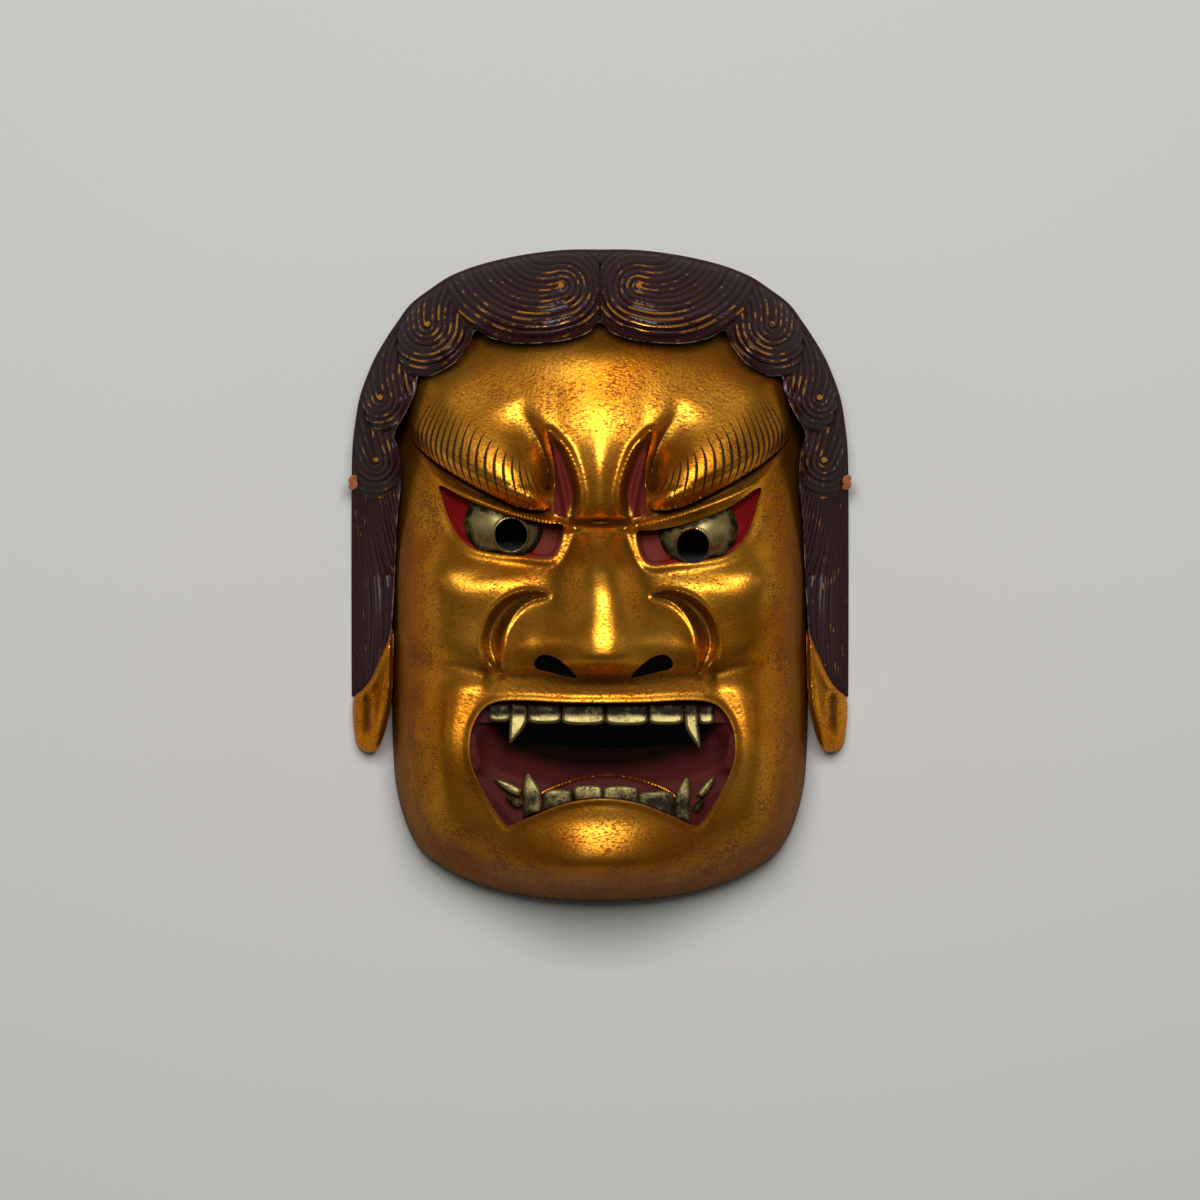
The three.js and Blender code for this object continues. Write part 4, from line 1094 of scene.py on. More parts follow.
# %% [markdown]
# ## The ear lobes
# Below the hair hang two long gilded lobes, each a leaf with a raised rim and a groove down its
# middle. On the real mask they are of the same block. They could be swellings of the face, but they
# stand apart from it at their tips, so each is moulded by itself, over the stencil of its outline.

# %% Ear lobes
EAR_LEVEL = 26
EAR_ROUND = (10, 1.6)
EAR_GROOVE = 77.6


def lobe_groove(u, v, deep, wide):
    """the groove down the middle of a lobe"""
    return deep * bell(np.abs(u), EAR_GROOVE, wide) * ease(-v, 36, 42) * (1 - ease(-v, 50, 56))


def ear_height(u, v):
    depth = depth_in(np.abs(u), v, ear_ring)
    groove = lobe_groove(u, v, 1.6, 1.3)
    rounded = 2.2 * (1 - ease(depth, 0, 1.6)) ** 2
    rho = rho_of(u, v, whole_reach)
    return EAR_LEVEL * dome(rho, *EAR_ROUND) + 1.2 * bell(depth, 1.6, 1.2) - groove - rounded


ears = {}
for side, turned in (("left", mirrored), ("right", lambda line: line)):
    ears[side] = moulded(f"ear_lobe_{side}", turned(ear_ring), ear_height, 0.0)
print("ear lobes", [len(e.data.polygons) for e in ears.values()], "faces")

# %% [markdown]
# ## The eyes
# Each eye is a sheet of brass beaten over a ball, pierced for the pupil and let into its socket with
# a hair's breadth round it. A cut sphere would do, but a sheet with a real thickness and a raised
# ring round the hole shows its edges as the metal does.

# %% Eyes
GAP = 0.3
EYE_RADIUS, EYE_TOP, EYE_SHEET = 15.5, 62.5, 1.2
PUPIL_RADIUS = 5.4


def inset(outline, by):
    """the outline moved inwards"""
    outline = np.asarray(outline, float)
    ahead, behind = np.roll(outline, -1, 0), np.roll(outline, 1, 0)
    way = ahead - behind
    area = np.sum(outline[:, 0] * ahead[:, 1] - ahead[:, 0] * outline[:, 1])
    inward = np.stack([-way[:, 1], way[:, 0]], 1) / np.linalg.norm(way, axis=1, keepdims=True)
    return outline + inward * by * np.sign(area)


def ball_height(side, u, v):
    cx, cy = EYEBALLS[side]
    ball = np.sqrt(np.maximum(EYE_RADIUS**2 - (u - cx) ** 2 - (v - cy) ** 2, 1))
    return EYE_TOP - EYE_RADIUS + ball


def beaten_eye(side):
    px, py = PUPILS[side]

    def height(u, v):
        ring = 0.45 * bell(np.hypot(u - px, v - py), PUPIL_RADIUS + 0.35, 0.4)
        return ball_height(side, u, v) + ring

    outline = inset(sockets[side], GAP)
    eye = moulded(f"beaten_eye_{side}", outline, height, SOCKET_FLOOR + GAP, thick=EYE_SHEET)
    hole = stencil("pupil", oval(px, py, PUPIL_RADIUS, PUPIL_RADIUS, steps=64), THROUGH, TOP)
    return worked(eye, hole, "DIFFERENCE")


eyes = {side: beaten_eye(side) for side in ("left", "right")}
print("eyes", [len(e.data.polygons) for e in eyes.values()], "faces")

# %% Patina and painted shade of the eyes
PATINA_AND_SHADE_REACH = 12.6
UNDERNEATH = 2


def note_eye(side):
    """1 at the rim of the ball and next to the lids, patina and painted shade; 0 round its bright middle;
    below 0 on the pupil's ring, a painted highlight; and 2 underneath
    """
    u, v, z = points_of(eyes[side].data).T
    cx, cy = EYEBALLS[side]
    px, py = PUPILS[side]
    outer = np.hypot((u - cx) / PATINA_AND_SHADE_REACH, (v - cy) / PATINA_AND_SHADE_REACH)
    lid = depth_in(u, v, inset(sockets[side], GAP), margin=6)
    rim = 1 - ease(np.abs(np.hypot(u - px, v - py) - PUPIL_RADIUS), 0.35, 0.7)
    # The ball darkens towards its rim and under the lids: patina and painted shade. The pupil's ring is kept
    # bright: painted highlight.
    dark = np.maximum(ease(outer, 0.66, 0.98), 1 - ease(lid, 0.2, 3.0))
    under = z < ball_height(side, u, v) - 0.4
    note(eyes[side], "edge", np.where(under, UNDERNEATH, np.clip(dark - 1.2 * rim, -1, 1)))


for side in eyes:
    note_eye(side)
print("noted", [len(e.data.vertices) for e in eyes.values()], "points of the eyes")

# %% [markdown]
# ## The teeth
# The teeth are cut from the same brass sheet: plates in a row, curved fangs at the corners and small
# leaves beside the lower ones. Bevelled boxes would give the plates, but not the fangs, so all of
# them are moulded from a drawn outline with rounded edges. Each stands on the ledge in the mouth and
# is trimmed to the room there.

# %% Outlines of the teeth
UPPER_PLATES = [
    ("upper_side_tooth_left", -36.6, -29.6, -42.8, -48.6), ("upper_incisor_1", -23.6, -12.9, -42.6, -49.2),
    ("upper_incisor_2", -12.5, 1.5, -42.8, -49.6), ("upper_incisor_3", 1.9, 15.7, -42.8, -49.7),
    ("upper_incisor_4", 16.1, 27.4, -42.6, -49.5), ("upper_side_tooth_right", 32.6, 37.6, -43.2, -49.4),
]
LOWER_PLATES = [
    ("lower_incisor_1", -18.4, -9.0, -79.0, -70.6), ("lower_incisor_2", -8.7, 0.7, -76.0, -69.2),
    ("lower_incisor_3", 1.1, 12.4, -76.0, -69.4), ("lower_incisor_4", 12.8, 24.2, -80.0, -71.2),
]
FANGS = {
    "upper_fang_left": [(-29.2, -42.4), (-24.1, -42.4), (-24.1, -48.4), (-25.2, -50.6), (-27.2, -53.2),
                        (-29.4, -55.4), (-30.0, -54.6), (-29.8, -49)],
    "upper_fang_right": [(27.8, -42.6), (32.0, -42.6), (32.4, -50), (33.2, -56.2), (32.5, -56.9),
                         (30.6, -54.4), (29.0, -52.0), (28.1, -49.8)],
    "lower_fang_left": [(-25.3, -79.6), (-19.2, -78.6), (-19.2, -72.2), (-20.6, -69.4), (-22.6, -66.4),
                        (-23.7, -65.4), (-24.6, -66.2), (-25.2, -69.4)],
    "lower_fang_right": [(29.6, -81.6), (24.7, -80.6), (24.8, -73.0), (26.2, -69.6), (27.6, -67.2),
                         (28.5, -66.6), (29.3, -67.4), (29.6, -71)],
}
SIDE_LEAVES = [
    ("lower_side_tooth_left_1", (-26.2, -72.0), (-34.5, -67.4), 3.0),
    ("lower_side_tooth_left_2", (-26.0, -76.0), (-31.2, -73.0), 2.4),
    ("lower_side_tooth_right_1", (31.0, -77.5), (34.8, -73.6), 2.2),
    ("lower_side_tooth_right_2", (32.8, -73.0), (37.9, -66.2), 2.6),
]


def plate_ring(left, right, gum, edge):
    """a plate whose free edge bows a little and has small round corners"""
    way = math.copysign(1, edge - gum)
    share = np.linspace(0, 1, 13)
    bow = edge - way * (0.5 * (2 * share - 1) ** 2 + 0.7 * np.abs(2 * share - 1) ** 9)
    free = np.stack([right + (left - right) * share, bow], 1)
    return np.array([(left, gum), (right, gum), *free])


def fang_ring(corners):
    return np.vstack([corners[:2], smooth_line(corners[2:], 4)])


def leaf_ring(root, tip, width):
    """a leaf that swells from its root and runs out in a point"""
    root, tip = np.array(root), np.array(tip)
    way = tip - root
    across = np.array([-way[1], way[0]]) / np.linalg.norm(way) * width / 2
    share = np.linspace(0, 1, 9)
    swell_out = np.sin(math.pi * (0.25 + 0.75 * share)) ** 0.8
    one = [root + way * t - across * s for t, s in zip(share, swell_out)]
    other = [root + way * t + across * s for t, s in zip(share, swell_out)]
    return np.array(one[:-1] + [tip] + other[:-1][::-1])


print(len(UPPER_PLATES + LOWER_PLATES), "plates,", len(FANGS), "fangs and", len(SIDE_LEAVES), "leaves")

# %% Teeth
TOOTH_THICK, TOOTH_RISE, ROW_HALF = 3.2, 2.4, 38
TOOTH_FOOT = MOUTH_LEDGE + GAP / 2
TOOTH_STEP = 0.25
MOUTH_MIDDLE = -60


def tooth_top(x):
    """the rows are arched: the front teeth stand higher than those in the corners"""
    return TOOTH_FOOT + TOOTH_THICK + TOOTH_RISE * (1 - (x / ROW_HALF) ** 2)


def tooth_piece(name, ring, x):
    def height(u, v):
        depth = np.maximum(depth_in(u, v, ring), 0)
        return tooth_top(x) - 0.8 * (1 - np.clip(depth / 1.0, 0, 1)) ** 2

    tooth = moulded(name, ring, height, TOOTH_FOOT, step=TOOTH_STEP)
    tooth = worked(tooth, stencil("room", inset(mouth_ring, GAP), TOOTH_FOOT - 1, TOP), "INTERSECT")
    u, v, _ = points_of(tooth.data).T
    # The upper teeth are painted dark along their tops, a painted shadow of the upper lip; the lower teeth
    # are darker all over, and darkest towards the gum.
    upper_lip_shadow, lower_gum = ease(np.abs(v - MOUTH_MIDDLE), 12.4, 14.6), 0.45 + 0.5 * ease(-v, 70, 75)
    gum = upper_lip_shadow if v.mean() > MOUTH_MIDDLE else lower_gum
    note(tooth, "edge", np.clip(np.maximum(1 - ease(depth_in(u, v, ring), 0, 0.35), gum), 0, 1))
    return tooth


rings = {name: (plate_ring(left, right, gum, edge), (left + right) / 2)
         for name, left, right, gum, edge in UPPER_PLATES + LOWER_PLATES}
rings.update({name: (fang_ring(corners), corners[0][0]) for name, corners in FANGS.items()})
rings.update({name: (leaf_ring(root, tip, width), root[0]) for name, root, tip, width in SIDE_LEAVES})
teeth = {name: tooth_piece(name + "_metal", ring, x) for name, (ring, x) in rings.items()}
print("teeth", len(teeth), "of", sum(len(t.data.polygons) for t in teeth.values()), "faces")

# %% [markdown]
# ## Where things belong
# The finished block no longer knows which of its points is lip, brow or hollow. But each point still
# knows where it is, and the shaping functions know the rest. So every point is asked once, and the
# answers are kept in the mesh for the material.

# %% Hollows and heights on a chart
CHART_STEP = 0.5
chart_u = np.arange(-88, 88.1, CHART_STEP)
chart_v = np.arange(-114, 114.1, CHART_STEP)


def softened(values, width):
    """the chart blurred over so many millimetres"""
    fu = np.fft.fftfreq(values.shape[0], CHART_STEP)[:, None]
    fv = np.fft.fftfreq(values.shape[1], CHART_STEP)[None]
    keep = np.exp(-2 * (math.pi * width) ** 2 * (fu * fu + fv * fv))
    return np.fft.ifft2(np.fft.fft2(values) * keep).real


def read_chart(chart, u, v):
    x = np.clip((u - chart_u[0]) / CHART_STEP, 0, len(chart_u) - 1.001)
    y = np.clip((v - chart_v[0]) / CHART_STEP, 0, len(chart_v) - 1.001)
    i, j = x.astype(int), y.astype(int)
    fx, fy = x - i, y - j
    return ((1 - fx) * ((1 - fy) * chart[i, j] + fy * chart[i, j + 1])
            + fx * ((1 - fy) * chart[i + 1, j] + fy * chart[i + 1, j + 1]))


def front_chart():
    u, v = np.meshgrid(chart_u, chart_v, indexing="ij")
    rho = np.minimum(rho_of(u, v, face_reach), 1)
    front = face_height(u, v, rho)
    for turned in (lambda line: line, mirrored):
        inside = depth_in(u, v, turned(brow_outline)) > 0
        front = np.where(inside, np.maximum(front, brow_height(u, v, rho)), front)
    return front


front_map = front_chart()
crease_map = softened(front_map, 2.2) - front_map
valley_map = softened(front_map, 5.0) - front_map
print("deepest crease", round(float(crease_map.max()), 1), "mm below its surroundings")

# %% [markdown]
# ## The painted eyebrows
# Each eyebrow is some eighteen strokes of a fine brush, fanned out over the swelling. They could be
# laid on as thin ribbons, but ink has no thickness. So the mesh is told, at every point, which
# stroke it is near and how far up that stroke it lies, and the material paints from those two
# numbers. Both are smooth functions of the place, fitted to where the strokes start, bend and end.

# %% Feet, bellies and tips of the strokes
STROKE_FOOT = [
    (-58.3, 40.7), (-57.2, 39.3), (-56.1, 38.2), (-54.5, 37.1), (-52.6, 35.9), (-50.5, 34.4),
    (-48.3, 33.2), (-46.4, 32), (-44.1, 30.8), (-41.5, 30), (-39.1, 28.8), (-36.9, 27.9),
    (-34, 27.6), (-30.2, 25.5), (-27, 25), (-24, 24.6), (-20.8, 24.2), (-18.3, 25.3),
]
STROKE_BELLY = [
    (-60.2, 46.7), (-58.9, 45.8), (-57.5, 44.9), (-55.7, 44), (-54, 43.1), (-52.2, 42.5),
    (-50.3, 41.8), (-48.2, 40.9), (-46, 40), (-43.3, 38.7), (-40.7, 37.3), (-38, 36),
    (-34.9, 34.6), (-31.7, 33.8), (-28.8, 34.2), (-26.4, 34.2), (-24.1, 32.9), (-21.8, 31.1),
]
STROKE_TIP = [
    (-54, 59.6), (-52.3, 60.1), (-50.5, 60.5), (-49.6, 58.3), (-48.7, 56.5), (-47.3, 55.6),
    (-45.6, 55.2), (-43.3, 54.7), (-40.7, 54.3), (-39.3, 49.8), (-37.3, 46.5), (-35.1, 45.4),
    (-33.1, 43.3), (-30.3, 41.1), (-27.9, 39.3), (-25.9, 38.2), (-25.2, 37.6), (-23, 35.4),
]
print("strokes in each eyebrow:", len(STROKE_FOOT))

# %% Brow strokes
STROKE_BEND = 0.42
STROKE_DEGREE = 5
STROKE_SAMPLES = np.linspace(-0.12, 1.1, 24)
LAST_STROKE = len(STROKE_FOOT) - 1


def powers(m, v):
    x, y = (m - 40) / 25, (v - 42) / 20
    steps = range(STROKE_DEGREE + 1)
    return np.stack([x**i * y**j for i in steps for j in steps if i + j <= STROKE_DEGREE], -1)


def stroke_charts():
    """two smooth functions of the place: the stroke's number, and how far up the stroke it is"""
    foot, belly, tip = (np.array(p) * (-1, 1) for p in (STROKE_FOOT, STROKE_BELLY, STROKE_TIP))
    spots, number, height = [], [], []
    for t in STROKE_SAMPLES:
        a = (t - STROKE_BEND) * (t - 1) / STROKE_BEND
        b = t * (t - 1) / (STROKE_BEND * (STROKE_BEND - 1))
        c = t * (t - STROKE_BEND) / (1 - STROKE_BEND)
        spots.append(foot * a + belly * b + tip * c)
        number.append(np.arange(len(foot)))
        height.append(np.full(len(foot), t))
    known = powers(*np.concatenate(spots).T)
    wanted = [np.concatenate(k).astype(float) for k in (number, height)]
    fits = [np.linalg.lstsq(known, k, rcond=None)[0] for k in wanted]
    print("strokes are off by", round(float(np.abs(known @ fits[0] - wanted[0]).max()), 2))
    return fits


stroke_number, stroke_place = stroke_charts()

# %% Ink
INK_OUTER = (STROKE_BELLY[0][0] - 2, 47)
ink_ring = np.array([(-x, y) for x, y in STROKE_FOOT + STROKE_TIP[::-1] + [INK_OUTER]])


def ink(m, v):
    """the stroke's number and place up it, and where there is any ink at all"""
    known = powers(m, v)
    number, place = known @ stroke_number, known @ stroke_place
    near = depth_in(m, v, ink_ring, margin=5)
    first, last = ease(number, -0.6, -0.4), 1 - ease(number, LAST_STROKE + 0.4, LAST_STROKE + 0.6)
    foot, tip = ease(place, -0.04, 0.02), 1 - ease(place, 0.98, 1.04)
    inked = ease(near, -3, -1.5) * first * last * foot * tip
    return np.clip(number, -1, LAST_STROKE + 1), np.clip(place, -0.2, 1.2), inked


middle_number, middle_place, _ = ink(np.array([40.7]), np.array([37.3]))
print("the middle of stroke 10 reads as", round(float(middle_number[0]), 1), round(float(middle_place[0]), 2))

# %% [markdown]
# ## Thin out, then note
# The block has far more triangles than its plain places need, and a decimating modifier takes them
# away where the surface hardly bends. The notes come after it, because it would blur them. Each note
# is one number per point, with a name that the material asks for.

# %% Thinning
MOST_TRIANGLES = 192000


def thinned(piece, most):
    """fewer triangles where the surface is plain"""
    now = sum(len(p.vertices) - 2 for p in piece.data.polygons)
    if now > most:
        collapse = piece.modifiers.new("thin", "DECIMATE")
        collapse.ratio = most / now
        piece = as_mesh(piece)
    return piece


carved_face = thinned(carved_face, MOST_TRIANGLES)
print("thinned to", len(carved_face.data.polygons), "faces")

# %% Places of the face
BORED_SUNK, DEEPEST = 14, 40
BORE_MARGIN, PUPIL_LEVEL = 0.2, 54
GUM_LEVEL = MOUTH_LEDGE - 5
GUM_LINE_HIGHLIGHT = (0.3, 0.8)


def normals_of(mesh):
    flat = np.empty(len(mesh.vertices) * 3, np.float32)
    mesh.vertices.foreach_get("normal", flat)
    return flat.reshape(-1, 3)


def read_red_free(u, v):
    """positive where a sunk place stays gilded: in the crescents and on the slits' slopes"""
    m = np.abs(u)
    nose_side, _, _ = follow(m, v, slit_nose_side)
    slope = np.where(depth_in(m, v, slit_ring) > -0.5, 2.6 - nose_side, -1)
    return np.maximum(depth_in(m, v, crescent_ring) + 0.5, slope)


def read_bored(u, v, z, up, sunk):
    """the walls of the throat and of the bores behind the pupils"""
    in_mouth = depth_in(u, v, mouth_ring, margin=6) > 0
    bored = in_mouth & (sunk > BORED_SUNK) & (z < MOUTH_LEDGE - FUNNEL_DEEP - 0.3) & (up > -0.5)
    for x, y in PUPILS.values():
        bored |= (np.hypot(u - x, v - y) < BORE_RADIUS + BORE_MARGIN) & (z < PUPIL_LEVEL)
    return bored


def read_back(u, v, z, up, bored):
    """the hollow and the back rim, which are bare wood"""
    rho = rho_of(u, v, face_reach)
    hollow_side = z < hollow_height(u, v, np.minimum(rho / HOLLOW_SCALE, 1)) + 1.5
    return (up < -0.1) | (hollow_side & (rho < HOLLOW_SCALE) & (up < 0.15)) & ~bored | (z < 0.2)


def read_red(u, v, z, sunk, bored):
    """how deep a place lies that red lacquer may cover, where the deepest are painted black as painted shade;
    0 where it stays gilded
    """
    plain = (rho_of(u, v, face_reach) > 0.93) | (read_red_free(u, v) > 0)
    gum, _, _ = follow(u, v, gum_line, margin=6)
    # Along the gum's edge the red gives way to a thin gilded line, a painted highlight.
    gilded = np.where(z > GUM_LEVEL, ease(gum, *GUM_LINE_HIGHLIGHT), 1)
    depth = np.where(bored, DEEPEST, np.where(plain, 0, np.clip(sunk, 0, DEEPEST)))
    return depth * np.where(bored, 1, gilded)


print("the gum's gilded line fades out between", *GUM_LINE_HIGHLIGHT, "mm from its middle")

# %% Notes of the face
def note_face(piece):
    u, v, z = points_of(piece.data).T
    up = normals_of(piece.data)[:, 2]
    sunk = read_chart(front_map, u, v) - z
    bored = read_bored(u, v, z, up, sunk)
    red_free = read_red_free(u, v) > 0
    number, place, inked = ink(np.hypot(u, 0.5), v)
    note(piece, "sunk", read_red(u, v, z, sunk, bored))
    note(piece, "back", read_back(u, v, z, up, bored))
    note(piece, "lip", np.abs(depth_in(u, v, mouth_ring, margin=6)))
    # The crescents and the slits' slopes are noted as deeper creases and valleys than they are, so their gold
    # is painted darker and olive: painted shade.
    note(piece, "crease", np.clip(read_chart(crease_map, u, v), -3, 3) + 0.4 * red_free)
    note(piece, "valley", np.clip(read_chart(valley_map, u, v) + 1.8 * red_free, 0, 4))
    note(piece, "edge", np.clip(rho_of(u, v, face_reach), 0, 1))
    note(piece, "stroke_number", number)
    note(piece, "stroke_place", place)
    note(piece, "inked", inked)


note_face(carved_face)
print("noted", len(carved_face.data.vertices), "points of the face")

# %% Notes of the ear lobes
LOBE_NOTES = {"sunk": 0, "back": 0, "lip": 9, "valley": 0, "stroke_number": -1, "stroke_place": -0.2,
              "inked": 0}
LOBE_EDGE = 0.74


def note_ear(piece):
    """an ear lobe has gold and grime, and none of the other finishes"""
    u, v, _ = points_of(piece.data).T
    for name, value in LOBE_NOTES.items():
        note(piece, name, np.full(len(u), value))
    note(piece, "crease", lobe_groove(u, v, 1.8, 1.5))
    note(piece, "edge", np.full(len(u), LOBE_EDGE))


for ear in ears.values():
    note_ear(ear)
print("noted", [len(e.data.vertices) for e in ears.values()], "points of the lobes")

# %% [markdown]
# ## Smooth shading
# Rubbed gold and beaten brass show no facets. Shading every face smoothly would round off the crisp
# edges of the slits and the teeth too, so edges sharper than 40 degrees stay sharp.

# %% Smooth shading
SHARP_FROM = 40


def smoothed(piece):
    piece.data.shade_smooth()
    piece.data.set_sharp_from_angle(angle=math.radians(SHARP_FROM))


shaded = [carved_face, *hair.values(), *ears.values(), *eyes.values(), *teeth.values()]
for piece in shaded:
    smoothed(piece)
print("smoothed", len(shaded), "pieces")

# %% [markdown]
# ## Materials
# A material here is a small tree of nodes, so one function that adds a node with its settings and
# links is all the help it takes. Colours are written as they look on a screen, and turned to the
# linear values that the renderer works with.

# %% Node helper
def linear(hex_colour):
    parts = [int(hex_colour[i:i + 2], 16) / 255 for i in (1, 3, 5)]
    return [c / 12.92 if c <= 0.04045 else ((c + 0.055) / 1.055) ** 2.4 for c in parts] + [1]


def add(tree, kind, **entries):
    """a node: an entry names a setting, or a socket with _ for a space, or socket_3 by number"""
    node = tree.nodes.new("ShaderNode" + kind)
    for name, value in entries.items():
        if name[0].islower() and not name.startswith("socket_"):
            setattr(node, name, value)
            continue
        number = name.startswith("socket_")
        socket = node.inputs[int(name[7:]) if number else name.replace("_", " ")]
        if isinstance(value, bpy.types.Node):
            value = value.outputs[0]
        if isinstance(value, bpy.types.NodeSocket):
            tree.links.new(value, socket)
        else:
            socket.default_value = value
    return node


def new_material(name):
    material = bpy.data.materials.new(name)
    material.use_nodes = True
    tree = material.node_tree
    tree.nodes.clear()
    return material, tree


def per_mm(size):
    """a pattern scale that repeats about once in so many millimetres"""
    return 1 / (size * MM)


print("linear ochre", [round(c, 3) for c in linear("#c4821e")])

# %% [markdown]
# ## Gold leaf over lacquer
# The face is lacquered, laid with gold leaf and rubbed smooth. Leaf is so thin that it follows every
# pore and brush mark of the lacquer, so it shines broadly and softly, not like polished metal. A
# century of dust and handling has darkened the creases and worn through the leaf in fine red-brown
# dashes. The far edges are darker and duller, partly from age and partly as painted shade, and the
# broad hollows, the crescents and the slits' slopes are painted a dark olive, a painted shade. The
# dashes follow a stretched noise, and the notes in the mesh say where they crowd together.

# %% Gold leaf
material_gold, t = new_material("gold_leaf_on_lacquer")
place = add(t, "TexCoord").outputs["Object"]
NOTES = ("sunk", "back", "lip", "crease", "valley", "edge", "stroke_number", "stroke_place", "inked")
sunk, back, lip, crease, valley, edge, number, height, inked = (
    add(t, "Attribute", attribute_name=name).outputs["Fac"] for name in NOTES)
# Soft clouds of thinner and thicker leaf: the eye reads them as laid by hand.
CLOUD_WIDE, PATCH_WIDE, FLECK_WIDE = 24, 10, 1.3
cloud = add(t, "TexNoise", Vector=place, Scale=per_mm(CLOUD_WIDE), Detail=3.0)
patch = add(t, "TexNoise", Vector=place, Scale=per_mm(PATCH_WIDE), Detail=2.0)
# The real dashes are about 0.3 mm by 0.8 mm, and drawn half as large again, so that they show.
stretched = add(t, "Mapping", Vector=place, Scale=(1, 2.1, 1), Rotation=(0, 0, math.radians(22)))
fleck = add(t, "TexNoise", Vector=stretched, Scale=per_mm(FLECK_WIDE), Detail=5.0, Roughness=0.6)
thick = add(t, "MapRange", Value=cloud, From_Min=0.36, From_Max=0.64)
leaf = add(t, "Mix", data_type="RGBA", socket_0=thick, socket_6=linear("#ca7a18"),
           socket_7=linear("#eca232"))
print("clouds", CLOUD_WIDE, "mm and patches", PATCH_WIDE, "mm wide, in", len(t.nodes), "nodes")

# %% Age of the leaf
# Darker and duller towards the rim: partly age, partly painted shade where the sides turn away from the
# light.
rim_age_and_shade = add(t, "MapRange", Value=edge, From_Min=0.74, From_Max=1.0, To_Max=0.86)
age_and_shade = add(t, "Mix", data_type="RGBA", socket_0=rim_age_and_shade, socket_6=leaf.outputs[2], socket_7=linear("#4c2a0a"))
# In the broad hollows the gold is painted a dark olive: painted shade.
hollow_shade = add(t, "MapRange", Value=valley, From_Min=0.35, From_Max=2.4, To_Max=0.8)
age_and_shade = add(t, "Mix", data_type="RGBA", socket_0=hollow_shade, socket_6=age_and_shade.outputs[2], socket_7=linear("#6e5c1c"))
density = add(t, "Math", operation="MULTIPLY_ADD", socket_0=patch, socket_1=0.32, socket_2=fleck)
density = add(t, "Math", operation="MULTIPLY_ADD", socket_0=crease, socket_1=0.055, socket_2=density)
density = add(t, "Math", operation="MULTIPLY_ADD", socket_0=rim_age_and_shade, socket_1=0.11, socket_2=density)
worn = add(t, "MapRange", Value=density, From_Min=0.68, From_Max=0.76, To_Max=0.75)
flecked = add(t, "Mix", data_type="RGBA", socket_0=worn, socket_6=age_and_shade.outputs[2], socket_7=linear("#6e2c10"))
grime = add(t, "MapRange", Value=crease, From_Min=0.5, From_Max=2.2, To_Max=0.9)
gilded = add(t, "Mix", data_type="RGBA", socket_0=grime, socket_6=flecked.outputs[2],
             socket_7=linear("#45220a"))
print("gold leaf:", len(t.nodes), "nodes")

# %% [markdown]
# ## Ink, red lacquer and bare wood
# The eyebrows are painted on the gold with a fine brush: each stroke swells in its belly and ends
# in a point. The stroke's number, kept in the mesh, grows smoothly from one stroke to the next, so
# its distance to the nearest whole number tells how far a place is from a stroke's middle. The
# mouth, the slits and the corners of the eyes are brushed with red lacquer, and the hollow is bare
# wood with the marks of the gouge.

# %% Painted strokes
BODY_CURVE = [(0.0, 0.08), (0.35, 0.235), (0.7, 0.15), (1.0, 0.02)]
body = add(t, "FloatCurve", Value=height)
points = body.mapping.curves[0].points
points[0].location, points[len(points) - 1].location = BODY_CURVE[0], BODY_CURVE[-1]
for spot in BODY_CURVE[1:-1]:
    points.new(*spot)
body.mapping.update()
thinner = add(t, "MapRange", Value=number, From_Min=7.0, From_Max=17.0, To_Min=1.0, To_Max=0.62)
body = add(t, "Math", operation="MULTIPLY", socket_0=body, socket_1=thinner)
off = add(t, "Math", operation="PINGPONG", socket_0=number, socket_1=0.5)
stroke = add(t, "Math", operation="SUBTRACT", socket_0=body, socket_1=off)
stroke = add(t, "MapRange", Value=stroke, From_Min=-0.02, From_Max=0.03, To_Max=0.94)
stroke = add(t, "Math", operation="MULTIPLY", socket_0=stroke, socket_1=inked)
inky = add(t, "Mix", data_type="RGBA", socket_0=stroke, socket_6=gilded.outputs[2],
           socket_7=linear("#0f0a0e"))
print("with the ink:", len(t.nodes), "nodes")

# %% Red lacquer
spot = add(t, "SeparateXYZ", Vector=place)
aside = add(t, "Math", operation="ABSOLUTE", socket_0=spot.outputs[0])
outer_red = add(t, "MapRange", Value=aside, From_Min=20 * MM, From_Max=22 * MM)
eye_red = add(t, "Mix", data_type="RGBA", socket_0=outer_red, socket_6=linear("#6c2622"),
              socket_7=linear("#740c10"))
in_mouth = add(t, "MapRange", Value=spot.outputs[1], From_Min=-36 * MM, From_Max=-40 * MM)
faded = add(t, "MapRange", Value=patch, From_Min=0.35, From_Max=0.7)
mouth_red = add(t, "Mix", data_type="RGBA", socket_0=faded, socket_6=linear("#541a1a"),
                socket_7=linear("#461a1e"))
# Deep places and the bores are painted black, a painted shade, so that the throat has no hard edge.
deep_shade = add(t, "MapRange", Value=sunk, From_Min=12.5, From_Max=20.0, To_Max=0.97)
red_tone = add(t, "Mix", data_type="RGBA", socket_0=in_mouth, socket_6=eye_red.outputs[2],
               socket_7=mouth_red.outputs[2])
red_tone = add(t, "Mix", data_type="RGBA", socket_0=deep_shade, socket_6=red_tone.outputs[2],
               socket_7=linear("#060203"))
red = add(t, "MapRange", Value=sunk, From_Min=1.0, From_Max=1.5)
lip_line = add(t, "MapRange", Value=lip, From_Min=0.45, From_Max=0.2, To_Max=0.8)
red = add(t, "Math", operation="MAXIMUM", socket_0=red, socket_1=lip_line)
lacquered = add(t, "Mix", data_type="RGBA", socket_0=red, socket_6=inky.outputs[2],
                socket_7=red_tone.outputs[2])
print("with the red lacquer:", len(t.nodes), "nodes")

